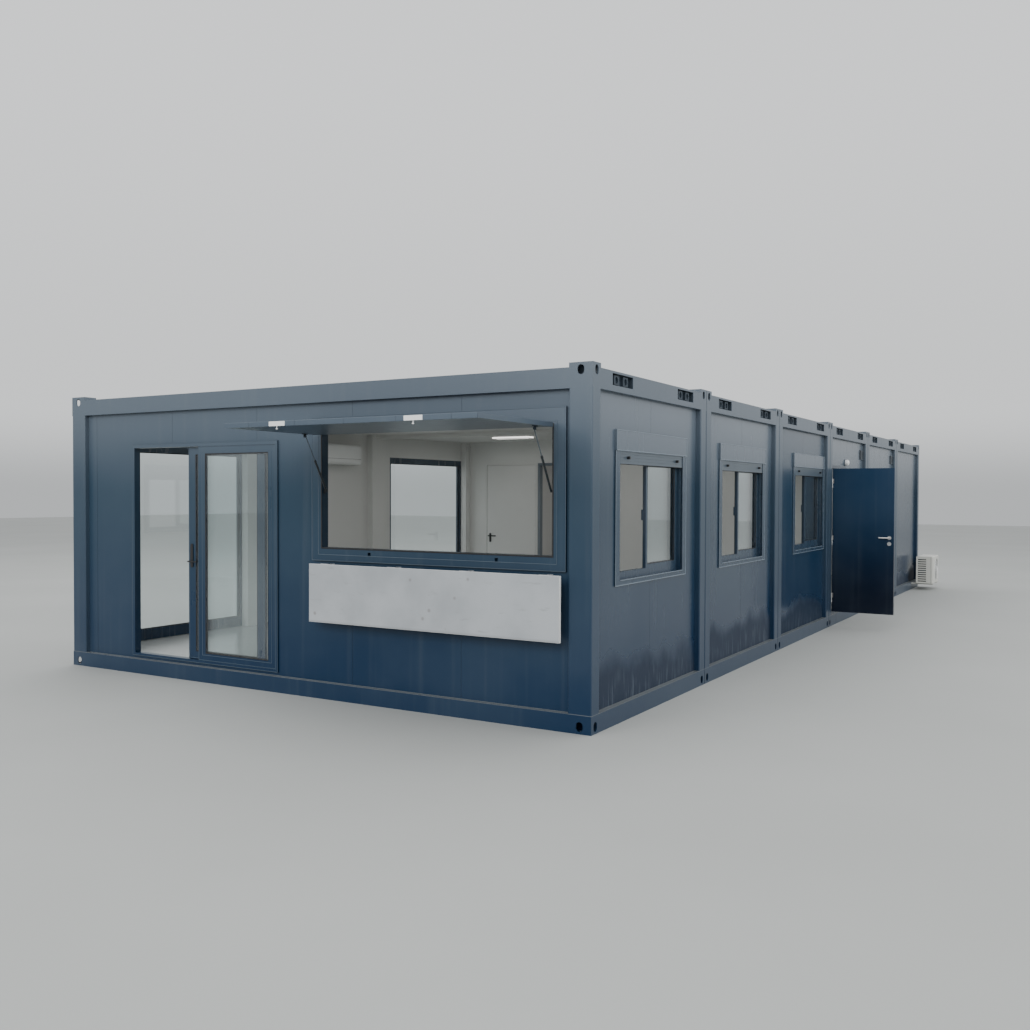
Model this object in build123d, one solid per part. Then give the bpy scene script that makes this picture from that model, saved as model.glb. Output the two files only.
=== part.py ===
from build123d import *
import os

# Portable site cabin made of six steel-framed container modules, side by side.
# All sizes are millimetres. The counter side faces -Y, the window side faces +X
# and Z = 0 is the underside of the floor frames. The origin is at the middle of the
# front floor beam's underside.

# Modules
module_count = 6
module_length = 6055.0
module_width = 2435.0
module_gap = 8.0
cabin_height = 2800.0

# Frames and posts
floor_beam_height = 145.0
roof_beam_height = 158.0
casting_rise = 35.0
post_along_front = 200.0
post_along_side = 140.0
post_edge_radius = 12.0
sheet = 4.0
floor_flange = 130.0
roof_flange_low = 46.0
roof_flange_high = 60.0
roof_thickness = 95.0
roof_panel_drop = 20.0
floor_board = 20.0
floor_pan_clear = 20.0
casting_wall = 10.0
casting_hole_length = 75.0
casting_hole_width = 58.0
casting_hole_drop = 55.0
socket_inset = 539.5
socket_width = 385.0
socket_height = 92.0
socket_sill = 48.0
socket_recess = 40.0
socket_sheet = 3.0
socket_box_width = 92.0
socket_box_height = 74.0
socket_box_depth = 22.0
socket_box_spread = 84.0
socket_mouth_radius = 26.0
socket_mouth_depth = 14.0
roof_edge_clear = 46.0
roof_rib_count = 14
roof_rib_height = 12.0
roof_rib_width = 60.0
roof_rib_margin = 260.0

# Walls
wall_recess = 50.0
wall_thickness = 60.0
lining = 10.0
seam_gap = 1.0
seal_depth = 40.0
seal_recess = 20.0
roof_strip_width = 110.0
roof_strip_thickness = 3.0
strip_drop = 10.0

# Glazed sliding door in the front, measured from the right front corner
patio_start = 3195.0
patio_width = 1971.0
patio_bottom = 175.0
patio_head_drop = 360.0
patio_rim_left = 35.0
patio_rim_right = 25.0
patio_rim_top = 35.0
patio_sill = 25.0
patio_proud = 15.0
patio_depth = 70.0
leaf_width = 1006.0
leaf_stile = 95.0
leaf_rail = 70.0
leaf_depth = 27.0
leaf_setback = 5.0
track_spacing = 32.0
leaf_open_gap = 739.0
glass_thickness = 20.0
running_clearance = 5.0
seat_clearance = 0.3
runner_width = 16.0
pull_plate_length = 230.0
pull_plate_width = 34.0
pull_plate_thickness = 8.0
pull_plate_rise = 55.0
pull_lever_length = 115.0
pull_lever_radius = 7.0
pull_lever_reach = 52.0
pull_lever_height = 1147.0

# Fixed full-height glazing in the left ends of modules 1 and 3
glazing_near = 237.0
glazing_far = 2.0
glazing_head_drop = 305.0
glazing_rim = 25.0
glazing_rim_top = 84.0
glazing_rim_bottom = 137.0
glazing_modules = (0, 2)

# Serving hatch, flap and counter board, measured from the right front corner
hatch_start = 237.0
hatch_width = 2541.0
hatch_bottom = 1217.0
hatch_head_drop = 174.0
hatch_proud = 20.0
hatch_depth = 80.0
hatch_rim_side = 118.0
hatch_rim_bottom = 118.0
hatch_rim_top = 136.0
flap_margin = 88.0
flap_lap = 73.0
flap_thickness = 35.0
flap_face_clearance = 5.0
flap_hinge_radius = 6.0
flap_hinge_drop = 121.0
flap_hinge_gap = 8.0
flap_hinge_length = 160.0
flap_hinge_count = 5
flap_hinge_arm = 4.0
latch_offsets = (477.0, 1754.0)
latch_length = 160.0
latch_thickness = 6.0
latch_knob_radius = 8.0
latch_knob_length = 26.0
keeper_clearance = 8.0
strut_inset = 26.0
strut_rod_radius = 4.0
strut_tube_radius = 9.0
strut_tube_length = 300.0
strut_pivot_back = 200.0
strut_pivot_drop = 55.0
strut_foot_back = 60.0
strut_foot_drop = 525.0
strut_eye_radius = 9.0
strut_eye_width = 10.0
strut_pin_radius = 4.0
strut_stem_end = 20.0
strut_foot_width = 28.0
strut_foot_height = 44.0
strut_foot_plate = 4.0
fitting_plate = 5.0
fitting_eye_half = 16.0
fitting_eye_drop = 12.0
fitting_flange_half = 40.0
fitting_flange = 6.0
counter_start = 230.0
counter_width = 2476.0
counter_top = 1193.0
counter_drop = 503.0
counter_thickness = 28.0
counter_hinge_out = 52.0
counter_hinge_radius = 7.0
counter_hinge_length = 90.0
counter_bracket_offsets = (150.0, 875.0, 1601.0, 2326.0)
counter_bracket_width = 50.0
counter_plate = 5.0
counter_plate_height = 302.0
counter_arm_height = 40.0
counter_leaf_height = 60.0
counter_leaf_plate = 3.0
counter_barrel_play = 2.0
counter_round = 6.0

# Windows with roller shutters in the right ends of modules 1 to 3
window_width = 1525.0
window_bottom = 1080.0
window_head_drop = 326.0
window_margin = (273.0, 273.0, 12.0)
window_frame_proud = 10.0
window_frame_depth = 100.0
window_rim = 85.0
window_rim_bottom = 44.0
window_rim_top = 46.0
window_step = 20.0
window_step_bottom = 56.0
shutter_box_height = 166.0
shutter_box_proud = 18.0
shutter_box_round = 6.0
sash_depth = 20.0
sash_gap = 2.0
sash_stile = 32.0
sash_overlap = 60.0
sash_setback = 56.0
sash_glass = 14.0
sash_pull_height = 90.0
sash_pull_width = 22.0
sash_pull_reach = 24.0
sash_pull_centre = 1634.0
shutter_drop = 104.0
shutter_slat = 26.0
shutter_thickness = 12.0
shutter_guide = 20.0
shutter_slot_set = 5.0
shutter_play = 0.5
stop_radius = 12.0
stop_spread = 528.0
stop_proud = 25.0
slat_groove = 3.0

# Side door in module 4
door_module = 3
door_hinge_offset = 226.0
door_leaf_width = 815.0
door_leaf_thickness = 45.0
door_bottom = 190.0
door_top = 2175.0
door_hinge_gap = 4.0
door_hinge_out = 28.0
door_leaf_back = 10.0
door_hinge_radius = 9.0
door_hinge_length = 65.0
door_hinge_tab = 22.0
door_hinge_leaf = 4.0
door_hinge_heights = (385.0, 1183.0, 1970.0)
door_rim = 40.0
door_rebate = 15.0
door_stop_gap = 8.0
door_frame_depth = 75.0
lever_height = 1230.0
lever_backset = 60.0
lever_length = 128.0
lever_radius = 10.0
lever_reach = 52.0
lever_plate_length = 150.0
lever_plate_width = 36.0
lever_plate_drop = 30.0
lever_plate_thickness = 6.0
rose_radius = 26.0
rose_drop = 80.0
cylinder_radius = 9.0
cylinder_reach = 14.0

# Partition between modules 3 and 4, measured from the left side
partition_joint = 3
inner_door_offset = 520.0
inner_door_width = 974.0
inner_door_head_drop = 350.0
inner_door_rim = 25.0
inner_leaf_thickness = 40.0
inner_leaf_gap = 8.0
inner_way_gap = 10.0
inner_way_width = 870.0
inner_way_rim = 40.0
inner_frame_proud = 10.0
inner_hinge_radius = 7.0
inner_hinge_length = 50.0
inner_hinge_heights = (420.0, 1230.0, 1980.0)
inner_lever_height = 1125.0
inner_leaf_set = 2.0
inner_tab = 24.0
inner_tab_foot = 10.0
inner_tab_thickness = 4.0

# Equipment
lamp_length = 620.0
lamp_width = 150.0
lamp_thickness = 25.0
lamp_side_offset = 1290.0
vent_modules = (3, 4)
vent_margin = 10.0
vent_width = 200.0
vent_drop = 290.0
vent_height = 140.0
vent_thickness = 18.0
vent_rim = 12.0
vent_slot = 9.0
vent_slot_depth = 11.0
vent_slot_count = 6
bulkhead_centre = 1100.0
bulkhead_radius = 42.0
bulkhead_gap = 15.0
bulkhead_reach = 62.0
bulkhead_dome = 30.0
cooler_module = 1
cooler_offset = 1060.0
cooler_length = 850.0
cooler_height = 280.0
cooler_depth = 200.0
cooler_drop = 445.0
cooler_round = 45.0
outdoor_gap = 100.0
outdoor_depth = 290.0
outdoor_end_gap = 110.0
outdoor_length = 740.0
outdoor_bottom = 130.0
outdoor_height = 510.0
outdoor_round = 18.0
outdoor_rail = 30.0
outdoor_rail_inset = 130.0
outdoor_fan_radius = 205.0
outdoor_fan_shift = 115.0
outdoor_fan_depth = 30.0
outdoor_louvre_width = 150.0
outdoor_louvre_count = 11
outdoor_louvre_depth = 6.0

# Sizes that follow
pitch = module_width + module_gap
cabin_length = module_count * pitch - module_gap
front = -roof_flange_high / 2
back = front + cabin_length
right = module_length / 2
left = -module_length / 2
roof_top = cabin_height - casting_rise
roof_bottom = roof_top - roof_beam_height
wall_outer = right - wall_recess
wall_inner = wall_outer - wall_thickness
front_outer = front + wall_recess
front_inner = front_outer + wall_thickness
back_outer = back - wall_recess
back_inner = back_outer - wall_thickness
floor_level = floor_beam_height + floor_board
ceiling_height = roof_top - roof_panel_drop - roof_thickness
hatch_top = ceiling_height - hatch_head_drop
window_top = ceiling_height - window_head_drop
patio_top = ceiling_height - patio_head_drop
glazing_top = ceiling_height - glazing_head_drop
inner_door_top = ceiling_height - inner_door_head_drop
door_frame_top = door_top + door_stop_gap + door_rim
patio_x = (right - patio_start - patio_width, right - patio_start)
patio_y = (front_outer - patio_proud, front_outer - patio_proud + patio_depth)


def block(x, y, z):
    """Rectangular solid between the two limits of each pair."""
    spans = [sorted(pair) for pair in (x, y, z)]
    middle = [(low + high) / 2 for low, high in spans]
    return Pos(*middle) * Box(*[high - low for low, high in spans])


def rod(start, end, radius):
    """Round bar from one point to the other."""
    path = Vector(*end) - Vector(*start)
    return extrude(Plane(origin=start, z_dir=path) * Circle(radius), path.length)


def ring(x, y, z, rims, through):
    """Rectangular frame round an opening: rims are side low, side high, bottom and top."""
    low_rim, high_rim, bottom_rim, top_rim = rims
    inner_z = (z[0] + bottom_rim, z[1] - top_rim)
    if through == "y":
        hole = block((x[0] + low_rim, x[1] - high_rim), (y[0] - 1, y[1] + 1), inner_z)
    else:
        hole = block((x[0] - 1, x[1] + 1), (y[0] + low_rim, y[1] - high_rim), inner_z)
    return block(x, y, z) - hole


def save(name, *solids):
    """Write one named piece, or a set of like pieces that don't touch."""
    shape = solids[0] if len(solids) == 1 else Compound(children=list(solids))
    shape.label = name
    export_step(shape, f"parts/{name}.step")


def module_start(index):
    """Y of the near long side of a module."""
    return front + index * pitch


def corner_footprints(index):
    """X and Y limits of the four corner posts of a module."""
    near = module_start(index)
    far = near + module_width
    for x in ((left, left + post_along_front), (right - post_along_front, right)):
        yield x, (near, near + post_along_side)
        yield x, (far - post_along_side, far)


def notched(slab, index, z):
    """Slab of a module with the corner posts' places cut out."""
    for x, y in corner_footprints(index):
        slab = slab - block(x, y, (z[0] - 1, z[1] + 1))
    return slab


def beam_along_x(y_web, inward, z, flanges):
    """Folded channel along X whose web is at y_web; inward is +1 or -1."""
    x = (left + post_along_front, right - post_along_front)
    web = block(x, (y_web, y_web + inward * sheet), z)
    low = block(x, (y_web, y_web + inward * flanges[0]), (z[0], z[0] + sheet))
    high = block(x, (y_web, y_web + inward * flanges[1]), (z[1] - sheet, z[1]))
    return web + low + high


def beam_along_y(index, x_web, inward, z, flanges):
    """Folded channel along Y at one end of a module."""
    near = module_start(index)
    y = (near + post_along_side, near + module_width - post_along_side)
    web = block((x_web, x_web + inward * sheet), y, z)
    low = block((x_web, x_web + inward * flanges[0]), y, (z[0], z[0] + sheet))
    high = block((x_web, x_web + inward * flanges[1]), y, (z[1] - sheet, z[1]))
    return web + low + high


def module_beams(index, z, flanges):
    near = module_start(index)
    far = near + module_width
    return [
        beam_along_x(near, 1, z, flanges),
        beam_along_x(far, -1, z, flanges),
        beam_along_y(index, right, -1, z, flanges),
        beam_along_y(index, left, 1, z, flanges),
    ]


def socket_recesses(index):
    """Openings in a roof end beam for the electrical sockets."""
    middle = module_start(index) + module_width / 2
    z = (roof_bottom + socket_sill, roof_bottom + socket_sill + socket_height)
    for side in (-1, 1):
        centre = middle + side * (module_width / 2 - socket_inset)
        y = (centre - socket_width / 2, centre + socket_width / 2)
        yield block((right - 2 * sheet, right + 1), y, z)


def casting(x, y, z, mouth_z):
    """Hollow corner box with an oblong lifting hole in its end, sides and flat face."""
    wall = casting_wall
    core = block((x[0] + wall, x[1] - wall), (y[0] + wall, y[1] - wall), (z[0] + wall, z[1] - wall))
    x_mid, y_mid, z_mid = (sum(pair) / 2 for pair in (x, y, z))
    hole_z = mouth_z + casting_hole_drop * (1 if z_mid > mouth_z else -1)
    x_out = right if x_mid > 0 else left
    hole = SlotOverall(casting_hole_length, casting_hole_width)
    end_hole = Plane(origin=(x_out, y_mid, hole_z), x_dir=(0, 0, 1), z_dir=(1, 0, 0)) * hole
    side_hole = Plane(origin=(x_mid, y_mid, hole_z), x_dir=(0, 0, 1), z_dir=(0, 1, 0)) * hole
    flat_hole = Plane(origin=(x_mid, y_mid, mouth_z), x_dir=(1, 0, 0), z_dir=(0, 0, 1)) * hole
    body = block(x, y, z) - core
    body = body - extrude(end_hole, amount=2 * wall, both=True)
    body = body - extrude(side_hole, amount=post_along_side, both=True)
    return body - extrude(flat_hole, amount=2 * wall, both=True)


def socket_plates():
    """Sunk trays behind the recesses, each with two round electrical sockets."""
    plates = []
    x_web = right - sheet
    x_back = right - socket_recess
    for index in range(module_count):
        middle = module_start(index) + module_width / 2
        z = (roof_bottom + socket_sill, roof_bottom + socket_sill + socket_height)
        z_mid = sum(z) / 2
        for side in (-1, 1):
            centre = middle + side * (module_width / 2 - socket_inset)
            y = (centre - socket_width / 2, centre + socket_width / 2)
            outer_y = (y[0] - socket_sheet, y[1] + socket_sheet)
            outer_z = (z[0] - socket_sheet, z[1] + socket_sheet)
            tray = block((x_back - socket_sheet, x_web), outer_y, outer_z) - block((x_back, right), y, z)
            for place in (-socket_box_spread, socket_box_spread):
                box_y = (centre + place - socket_box_width / 2, centre + place + socket_box_width / 2)
                box_z = (z_mid - socket_box_height / 2, z_mid + socket_box_height / 2)
                box_x = x_back + socket_box_depth
                tray = tray + block((x_back - 1, box_x), box_y, box_z)
                mouth = (box_x - socket_mouth_depth, centre + place, z_mid)
                tray = tray - rod(mouth, (box_x + 1, centre + place, z_mid), socket_mouth_radius)
            plates.append(tray)
    save("socket_plates", *plates)


def frames_and_posts():
    """Floor frames, posts and roof frames of all modules."""
    floor_z = (0, floor_beam_height)
    roof_z = (roof_bottom, roof_top)
    floor_beams, roof_beams, posts, feet, heads = [], [], [], [], []
    for index in range(module_count):
        floor_beams += module_beams(index, floor_z, (roof_flange_high, floor_flange))
        four = module_beams(index, roof_z, (roof_flange_low, roof_flange_high))
        for recess in socket_recesses(index):
            four[2] = four[2] - recess
        roof_beams += four
        for x, y in corner_footprints(index):
            feet.append(casting(x, y, floor_z, 0))
            heads.append(casting(x, y, (roof_bottom, cabin_height), cabin_height))
            tube = block(x, y, (floor_beam_height, roof_bottom))
            tube = fillet(tube.edges().filter_by(Axis.Z), post_edge_radius)
            core_x = (x[0] + sheet, x[1] - sheet)
            core_y = (y[0] + sheet, y[1] - sheet)
            posts.append(tube - block(core_x, core_y, (0, cabin_height)))
    save("floor_beams", *floor_beams)
    save("floor_castings", *feet)
    save("posts", *posts)
    save("roof_beams", *roof_beams)
    save("roof_castings", *heads)


def floors_and_roofs():
    """Insulated floor pans, floor boards and ribbed roof panels."""
    pans, boards, roofs = [], [], []
    for index in range(module_count):
        near = module_start(index)
        far = near + module_width
        pan_z = (floor_pan_clear, floor_beam_height - sheet)
        pan = block((left + sheet, right - sheet), (near + sheet, far - sheet), pan_z)
        pans.append(notched(pan, index, pan_z))
        board_near = front_inner if index == 0 else near - (module_gap - seam_gap) / 2
        last = index == module_count - 1
        board_far = back_inner if last else far + (module_gap - seam_gap) / 2
        board_z = (floor_beam_height, floor_level)
        board = block((-wall_inner, wall_inner), (board_near, board_far), board_z)
        for x, y in corner_footprints(index):
            y = (y[0] - module_gap, y[1] + module_gap)
            board = board - block(x, y, (board_z[0] - 1, board_z[1] + 1))
        boards.append(board)
        roof_z = (ceiling_height, ceiling_height + roof_thickness)
        roof_x = (left + roof_edge_clear, right - roof_edge_clear)
        roof = block(roof_x, (near + sheet, far - sheet), roof_z)
        roof = notched(roof, index, roof_z)
        for rib in roof_ribs(near, roof_z[1]):
            roof = roof + rib
        roofs.append(roof)
    save("floor_pans", *pans)
    save("floor_boards", *boards)
    save("roof_panels", *roofs)


def roof_ribs(near, level):
    """Trapezoid ribs across one module's roof sheet."""
    run = module_length - 2 * roof_rib_margin
    y_limits = (near + roof_flange_high + lining, near + module_width - roof_flange_high - lining)
    half = roof_rib_width / 2
    outline = [(-half, -1), (-half, 0), (-half / 2, roof_rib_height)]
    outline += [(half / 2, roof_rib_height), (half, 0), (half, -1)]
    for place in range(roof_rib_count):
        x = left + roof_rib_margin + run * place / (roof_rib_count - 1)
        plane = Plane(origin=(x, y_limits[0], level), x_dir=(1, 0, 0), z_dir=(0, -1, 0))
        section = plane * make_face(Polyline(*outline, close=True))
        yield extrude(section, amount=-(y_limits[1] - y_limits[0]))


def joint_trims():
    """Seals, roof cover strips and inside linings where two modules meet."""
    seals, roof_strips, ceiling_strips, linings = [], [], [], []
    strip_x = (left + post_along_front, right - post_along_front)
    for joint in range(1, module_count):
        gap = (module_start(joint) - module_gap, module_start(joint))
        middle = sum(gap) / 2
        for side in (-1, 1):
            face = side * (right - seal_recess)
            seals.append(block((face, face - side * seal_depth), gap, (floor_beam_height, roof_bottom)))
        seals.append(block(strip_x, gap, (0, floor_beam_height - sheet)))
        strip_y = (middle - roof_strip_width / 2, middle + roof_strip_width / 2)
        strip = block(strip_x, strip_y, (roof_top, roof_top + roof_strip_thickness))
        roof_strips.append(strip)
        reach = module_gap / 2 + roof_flange_low + lining
        cover_x = (left + post_along_front + lining, right - post_along_front - lining)
        cover_z = (roof_bottom - strip_drop, ceiling_height)
        cover = block(cover_x, (middle - reach, middle + reach), cover_z)
        hollow_y = (middle - reach + lining, middle + reach - lining)
        hollow = block((cover_x[0] - 1, cover_x[1] + 1), hollow_y, (roof_bottom, ceiling_height + 1))
        ceiling_strips.append(cover - hollow)
        half = module_gap / 2 + post_along_side
        for side in (-1, 1):
            inner = side * (right - post_along_front)
            y_out = (middle - half - lining, middle + half + lining)
            shell = block((side * wall_inner, inner - side * lining), y_out, (floor_level, ceiling_height))
            core = block((side * right, inner), (middle - half, middle + half), (0, cabin_height))
            beams_y = (middle - reach + lining, middle + reach - lining)
            beams = block((side * right, inner - side * 2 * lining), beams_y, (roof_bottom, cabin_height))
            linings.append(shell - core - beams)
    for side in (-1, 1):
        inner = side * (right - post_along_front)
        shell_x = (side * wall_inner, inner - side * lining)
        for y_end, y_wall, inward in ((front, front_inner, 1), (back, back_inner, -1)):
            y_post = y_end + inward * post_along_side
            shell = block(shell_x, (y_wall, y_post + inward * lining), (floor_level, ceiling_height))
            core = block((side * right, inner), (y_end, y_post), (0, cabin_height))
            linings.append(shell - core)
    save("joint_covers", *seals, *roof_strips)
    save("ceiling_strips", *ceiling_strips)
    save("corner_linings", *linings)


wall_z = (floor_beam_height, ceiling_height)
front_y = (front_outer, front_inner)
right_x = (wall_inner, wall_outer)


def side_span(index):
    """Clear Y span between the two posts at one end of a module."""
    near = module_start(index)
    return near + post_along_side, near + module_width - post_along_side


def window_span(index):
    far = side_span(index)[1] - window_margin[index]
    return far - window_width, far


def door_hinge_y():
    return module_start(door_module) + door_hinge_offset


def door_span():
    """Y limits of the side door's frame."""
    start = door_hinge_y() - 1 - door_rim
    return start, start + 2 * door_rim + door_leaf_width + door_hinge_gap + door_stop_gap + 1


def glazing_span(index):
    near, far = side_span(index)
    return near + glazing_near, far - glazing_far


def walls():
    """Sandwich wall panels, split beside and over the doorways."""
    patio_left, patio_right = patio_x
    x_left = left + post_along_front
    x_right = right - post_along_front
    save("front_wall_left", block((x_left, patio_left), front_y, wall_z))
    save(
        "front_wall_over_door",
        block((patio_left, patio_right), front_y, (patio_top, ceiling_height)),
        block((patio_left, patio_right), front_y, (floor_beam_height, patio_bottom)),
    )
    hatch_x = (right - hatch_start - hatch_width, right - hatch_start)
    hatch_hole = block(hatch_x, (front, front_inner + 1), (hatch_bottom, hatch_top))
    save("front_wall_hatch", block((patio_right, x_right), front_y, wall_z) - hatch_hole)
    for index in range(3):
        hole = block((wall_inner - 1, right), window_span(index), (window_bottom, window_top))
        save(f"right_wall_{index + 1}", block(right_x, side_span(index), wall_z) - hole)
    near, far = side_span(door_module)
    start, end = door_span()
    save(
        "door_wall_sides",
        block(right_x, (near, start), wall_z),
        block(right_x, (end, far), wall_z),
    )
    save("door_wall_over", block(right_x, (start, end), (door_frame_top, ceiling_height)))
    save("right_walls_plain", *[block(right_x, side_span(index), wall_z) for index in (4, 5)])
    left_x = (-wall_outer, -wall_inner)
    plain, glazed = [], []
    for index in range(module_count):
        panel = block(left_x, side_span(index), wall_z)
        if index in glazing_modules:
            hole_z = (floor_beam_height - 1, glazing_top)
            panel = panel - block((left, 0), glazing_span(index), hole_z)
            glazed.append(panel)
        else:
            plain.append(panel)
    save("left_walls_glazed", *glazed)
    save("left_walls_plain", *plain)
    back_y = (back_inner, back_outer)
    save("back_wall", block((x_left, x_right), back_y, wall_z))


def partition():
    """White partition with a door and a framed way through, under the third joint."""
    middle = module_start(partition_joint) - module_gap / 2
    y = (middle - wall_thickness / 2, middle + wall_thickness / 2)
    x_end = right - post_along_front - lining
    low = floor_level
    high = roof_bottom - strip_drop
    door_x = (left + inner_door_offset, left + inner_door_offset + inner_door_width)
    way_x = (door_x[1] + inner_way_gap, door_x[1] + inner_way_gap + inner_way_width)
    save(
        "partition_sides",
        block((-x_end, door_x[0]), y, (low, high)),
        block((door_x[1], way_x[0]), y, (low, inner_door_top)),
        block((way_x[1], x_end), y, (low, high)),
    )
    save("partition_over_doors", block((door_x[0], way_x[1]), y, (inner_door_top, high)))
    frame_y = (y[0] - inner_frame_proud, y[1] + inner_frame_proud)
    rims = (inner_door_rim, inner_door_rim, -1, inner_door_rim)
    door_frame = ring(door_x, frame_y, (low, inner_door_top), rims, "y")
    rims = (inner_way_rim, inner_way_rim, -1, inner_way_rim)
    save("inner_way_frame", ring(way_x, frame_y, (low, inner_door_top), rims, "y"))
    inner_door(door_frame, door_x, y)


def inner_door(frame, door_x, y):
    """White leaf in its frame, hinged at its right, closed."""
    leaf_x = (door_x[0] + inner_door_rim + inner_leaf_gap, door_x[1] - inner_door_rim - running_clearance)
    face = y[0] - inner_frame_proud
    leaf_y = (face + inner_leaf_set, face + inner_leaf_set + inner_leaf_thickness)
    leaf_z = (floor_level + running_clearance, inner_door_top - inner_door_rim - running_clearance)
    save("inner_door_leaf", block(leaf_x, leaf_y, leaf_z))
    hinge_x = door_x[1] - inner_door_rim - running_clearance / 2
    hinge_y = face - inner_hinge_radius
    knuckles = []
    for height in inner_hinge_heights:
        z = (height, height + inner_hinge_length)
        barrel = rod((hinge_x, hinge_y, z[0]), (hinge_x, hinge_y, z[1]), inner_hinge_radius)
        tab = block((hinge_x - inner_tab, hinge_x), (hinge_y, hinge_y + inner_tab_thickness), z)
        foot = block((hinge_x - inner_tab, hinge_x - inner_tab_foot), (hinge_y, leaf_y[0]), z)
        knuckles.append(barrel + tab + foot)
    save("inner_door_hinges", *knuckles)
    for height in inner_hinge_heights:
        z = (height - seat_clearance - inner_hinge_length, height - seat_clearance)
        barrel = rod((hinge_x, hinge_y, z[0]), (hinge_x, hinge_y, z[1]), inner_hinge_radius)
        tab = block((hinge_x, hinge_x + inner_tab), (hinge_y, hinge_y + inner_tab_thickness), z)
        foot = block((hinge_x + inner_tab_foot, hinge_x + inner_tab), (hinge_y, face), z)
        frame = frame + barrel + tab + foot
    save("inner_door_frame", frame)
    lever_x = leaf_x[0] + lever_backset
    levers = []
    for face_y, outward in ((leaf_y[0], -1), (leaf_y[1], 1)):
        place = (lever_x, face_y, inner_lever_height)
        plate_size = (lever_plate_drop, lever_plate_length, lever_plate_width, lever_plate_thickness)
        plate = face_plate(place, (0, outward, 0), *plate_size)
        levers.append(plate + lever(place, (0, outward, 0), (1, 0, 0)))
    save("inner_door_levers", *levers)


def lever(place, outward, along):
    """Neck and lever that stand off one face of a door."""
    neck_end = tuple(p + o * lever_reach for p, o in zip(place, outward))
    neck = rod(place, neck_end, lever_radius * 0.8)
    tip = tuple(p + a * lever_length for p, a in zip(neck_end, along))
    start = tuple(p - a * lever_radius for p, a in zip(neck_end, along))
    return neck + rod(start, tip, lever_radius)


def face_plate(place, outward, drop, length, width, thickness):
    """Upright round-ended plate on a door's face."""
    plane = Plane(origin=place, x_dir=(0, 0, 1), z_dir=outward)
    return extrude(plane * Pos(-drop, 0) * SlotOverall(length, width), amount=thickness)


def patio_door():
    """Front sliding door: frame, fixed outer leaf and sliding inner leaf."""
    x, y = patio_x, patio_y
    z = (patio_bottom, patio_top)
    frame = ring(x, y, z, (patio_rim_left, patio_rim_right, patio_sill, patio_rim_top), "y")
    save("patio_frame", frame)
    fixed_x = (x[1] - patio_rim_right - leaf_width, x[1] - patio_rim_right)
    fixed_y = (y[0] + leaf_setback, y[0] + leaf_setback + leaf_depth)
    fixed_z = (z[0] + patio_sill, z[1] - patio_rim_top)
    leaf, fixed_pane = glazed_leaf(fixed_x, fixed_y, fixed_z)
    save("patio_fixed_leaf", leaf)
    start = x[0] + patio_rim_left + leaf_open_gap
    slide_x = (start, start + leaf_width)
    slide_y = (fixed_y[0] + track_spacing, fixed_y[1] + track_spacing)
    slide_z = (fixed_z[0] + running_clearance, fixed_z[1] - running_clearance)
    runner_y = sum(slide_y) / 2
    runner_z = (fixed_z[0] + seat_clearance, slide_z[0])
    runner = block(slide_x, (runner_y - runner_width / 2, runner_y + runner_width / 2), runner_z)
    leaf, pane = glazed_leaf(slide_x, slide_y, slide_z)
    save("sliding_leaf", leaf + runner)
    save("sliding_glass", pane)
    pull_x = slide_x[0] + leaf_stile / 2
    pulls = []
    for face_y, outward in ((slide_y[0], -1), (slide_y[1], 1)):
        pulls.append(pull_handle(pull_x, face_y, outward))
    save("sliding_pulls", *pulls)
    return [fixed_pane]


def pull_handle(x, face_y, outward):
    """Upright plate with a short level lever that points to the fixed leaf."""
    place = (x, face_y, pull_lever_height)
    plate_size = (-pull_plate_rise, pull_plate_length, pull_plate_width, pull_plate_thickness)
    plate = face_plate(place, (0, outward, 0), *plate_size)
    lever_y = face_y + outward * pull_lever_reach
    neck = rod(place, (x, lever_y, pull_lever_height), pull_lever_radius)
    grip_start = (x - pull_lever_radius, lever_y, pull_lever_height)
    grip_end = (x + pull_lever_length, lever_y, pull_lever_height)
    return plate + neck + rod(grip_start, grip_end, pull_lever_radius)


def glazed_leaf(x, y, z):
    """Frame of stiles and rails, and the pane that fills it."""
    rims = (leaf_stile, leaf_stile, leaf_rail, leaf_rail)
    frame = ring(x, y, z, rims, "y")
    middle = sum(y) / 2
    pane_y = (middle - glass_thickness / 2, middle + glass_thickness / 2)
    pane_x = (x[0] + leaf_stile, x[1] - leaf_stile)
    return frame, block(pane_x, pane_y, (z[0] + leaf_rail, z[1] - leaf_rail))


def left_glazing():
    """Fixed full-height panes in the left ends of modules 1 and 3."""
    frames, panes = [], []
    x = (-wall_outer - patio_proud, -wall_inner)
    for index in glazing_modules:
        y = glazing_span(index)
        z = (floor_beam_height, glazing_top)
        rims = (glazing_rim, glazing_rim, glazing_rim_bottom, glazing_rim_top)
        frames.append(ring(x, y, z, rims, "x"))
        pane_x = (sum(x) / 2 - glass_thickness / 2, sum(x) / 2 + glass_thickness / 2)
        pane_y = (y[0] + glazing_rim, y[1] - glazing_rim)
        panes.append(block(pane_x, pane_y, (z[0] + glazing_rim_bottom, z[1] - glazing_rim_top)))
    save("left_glazing_frames", *frames)
    return panes


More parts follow.
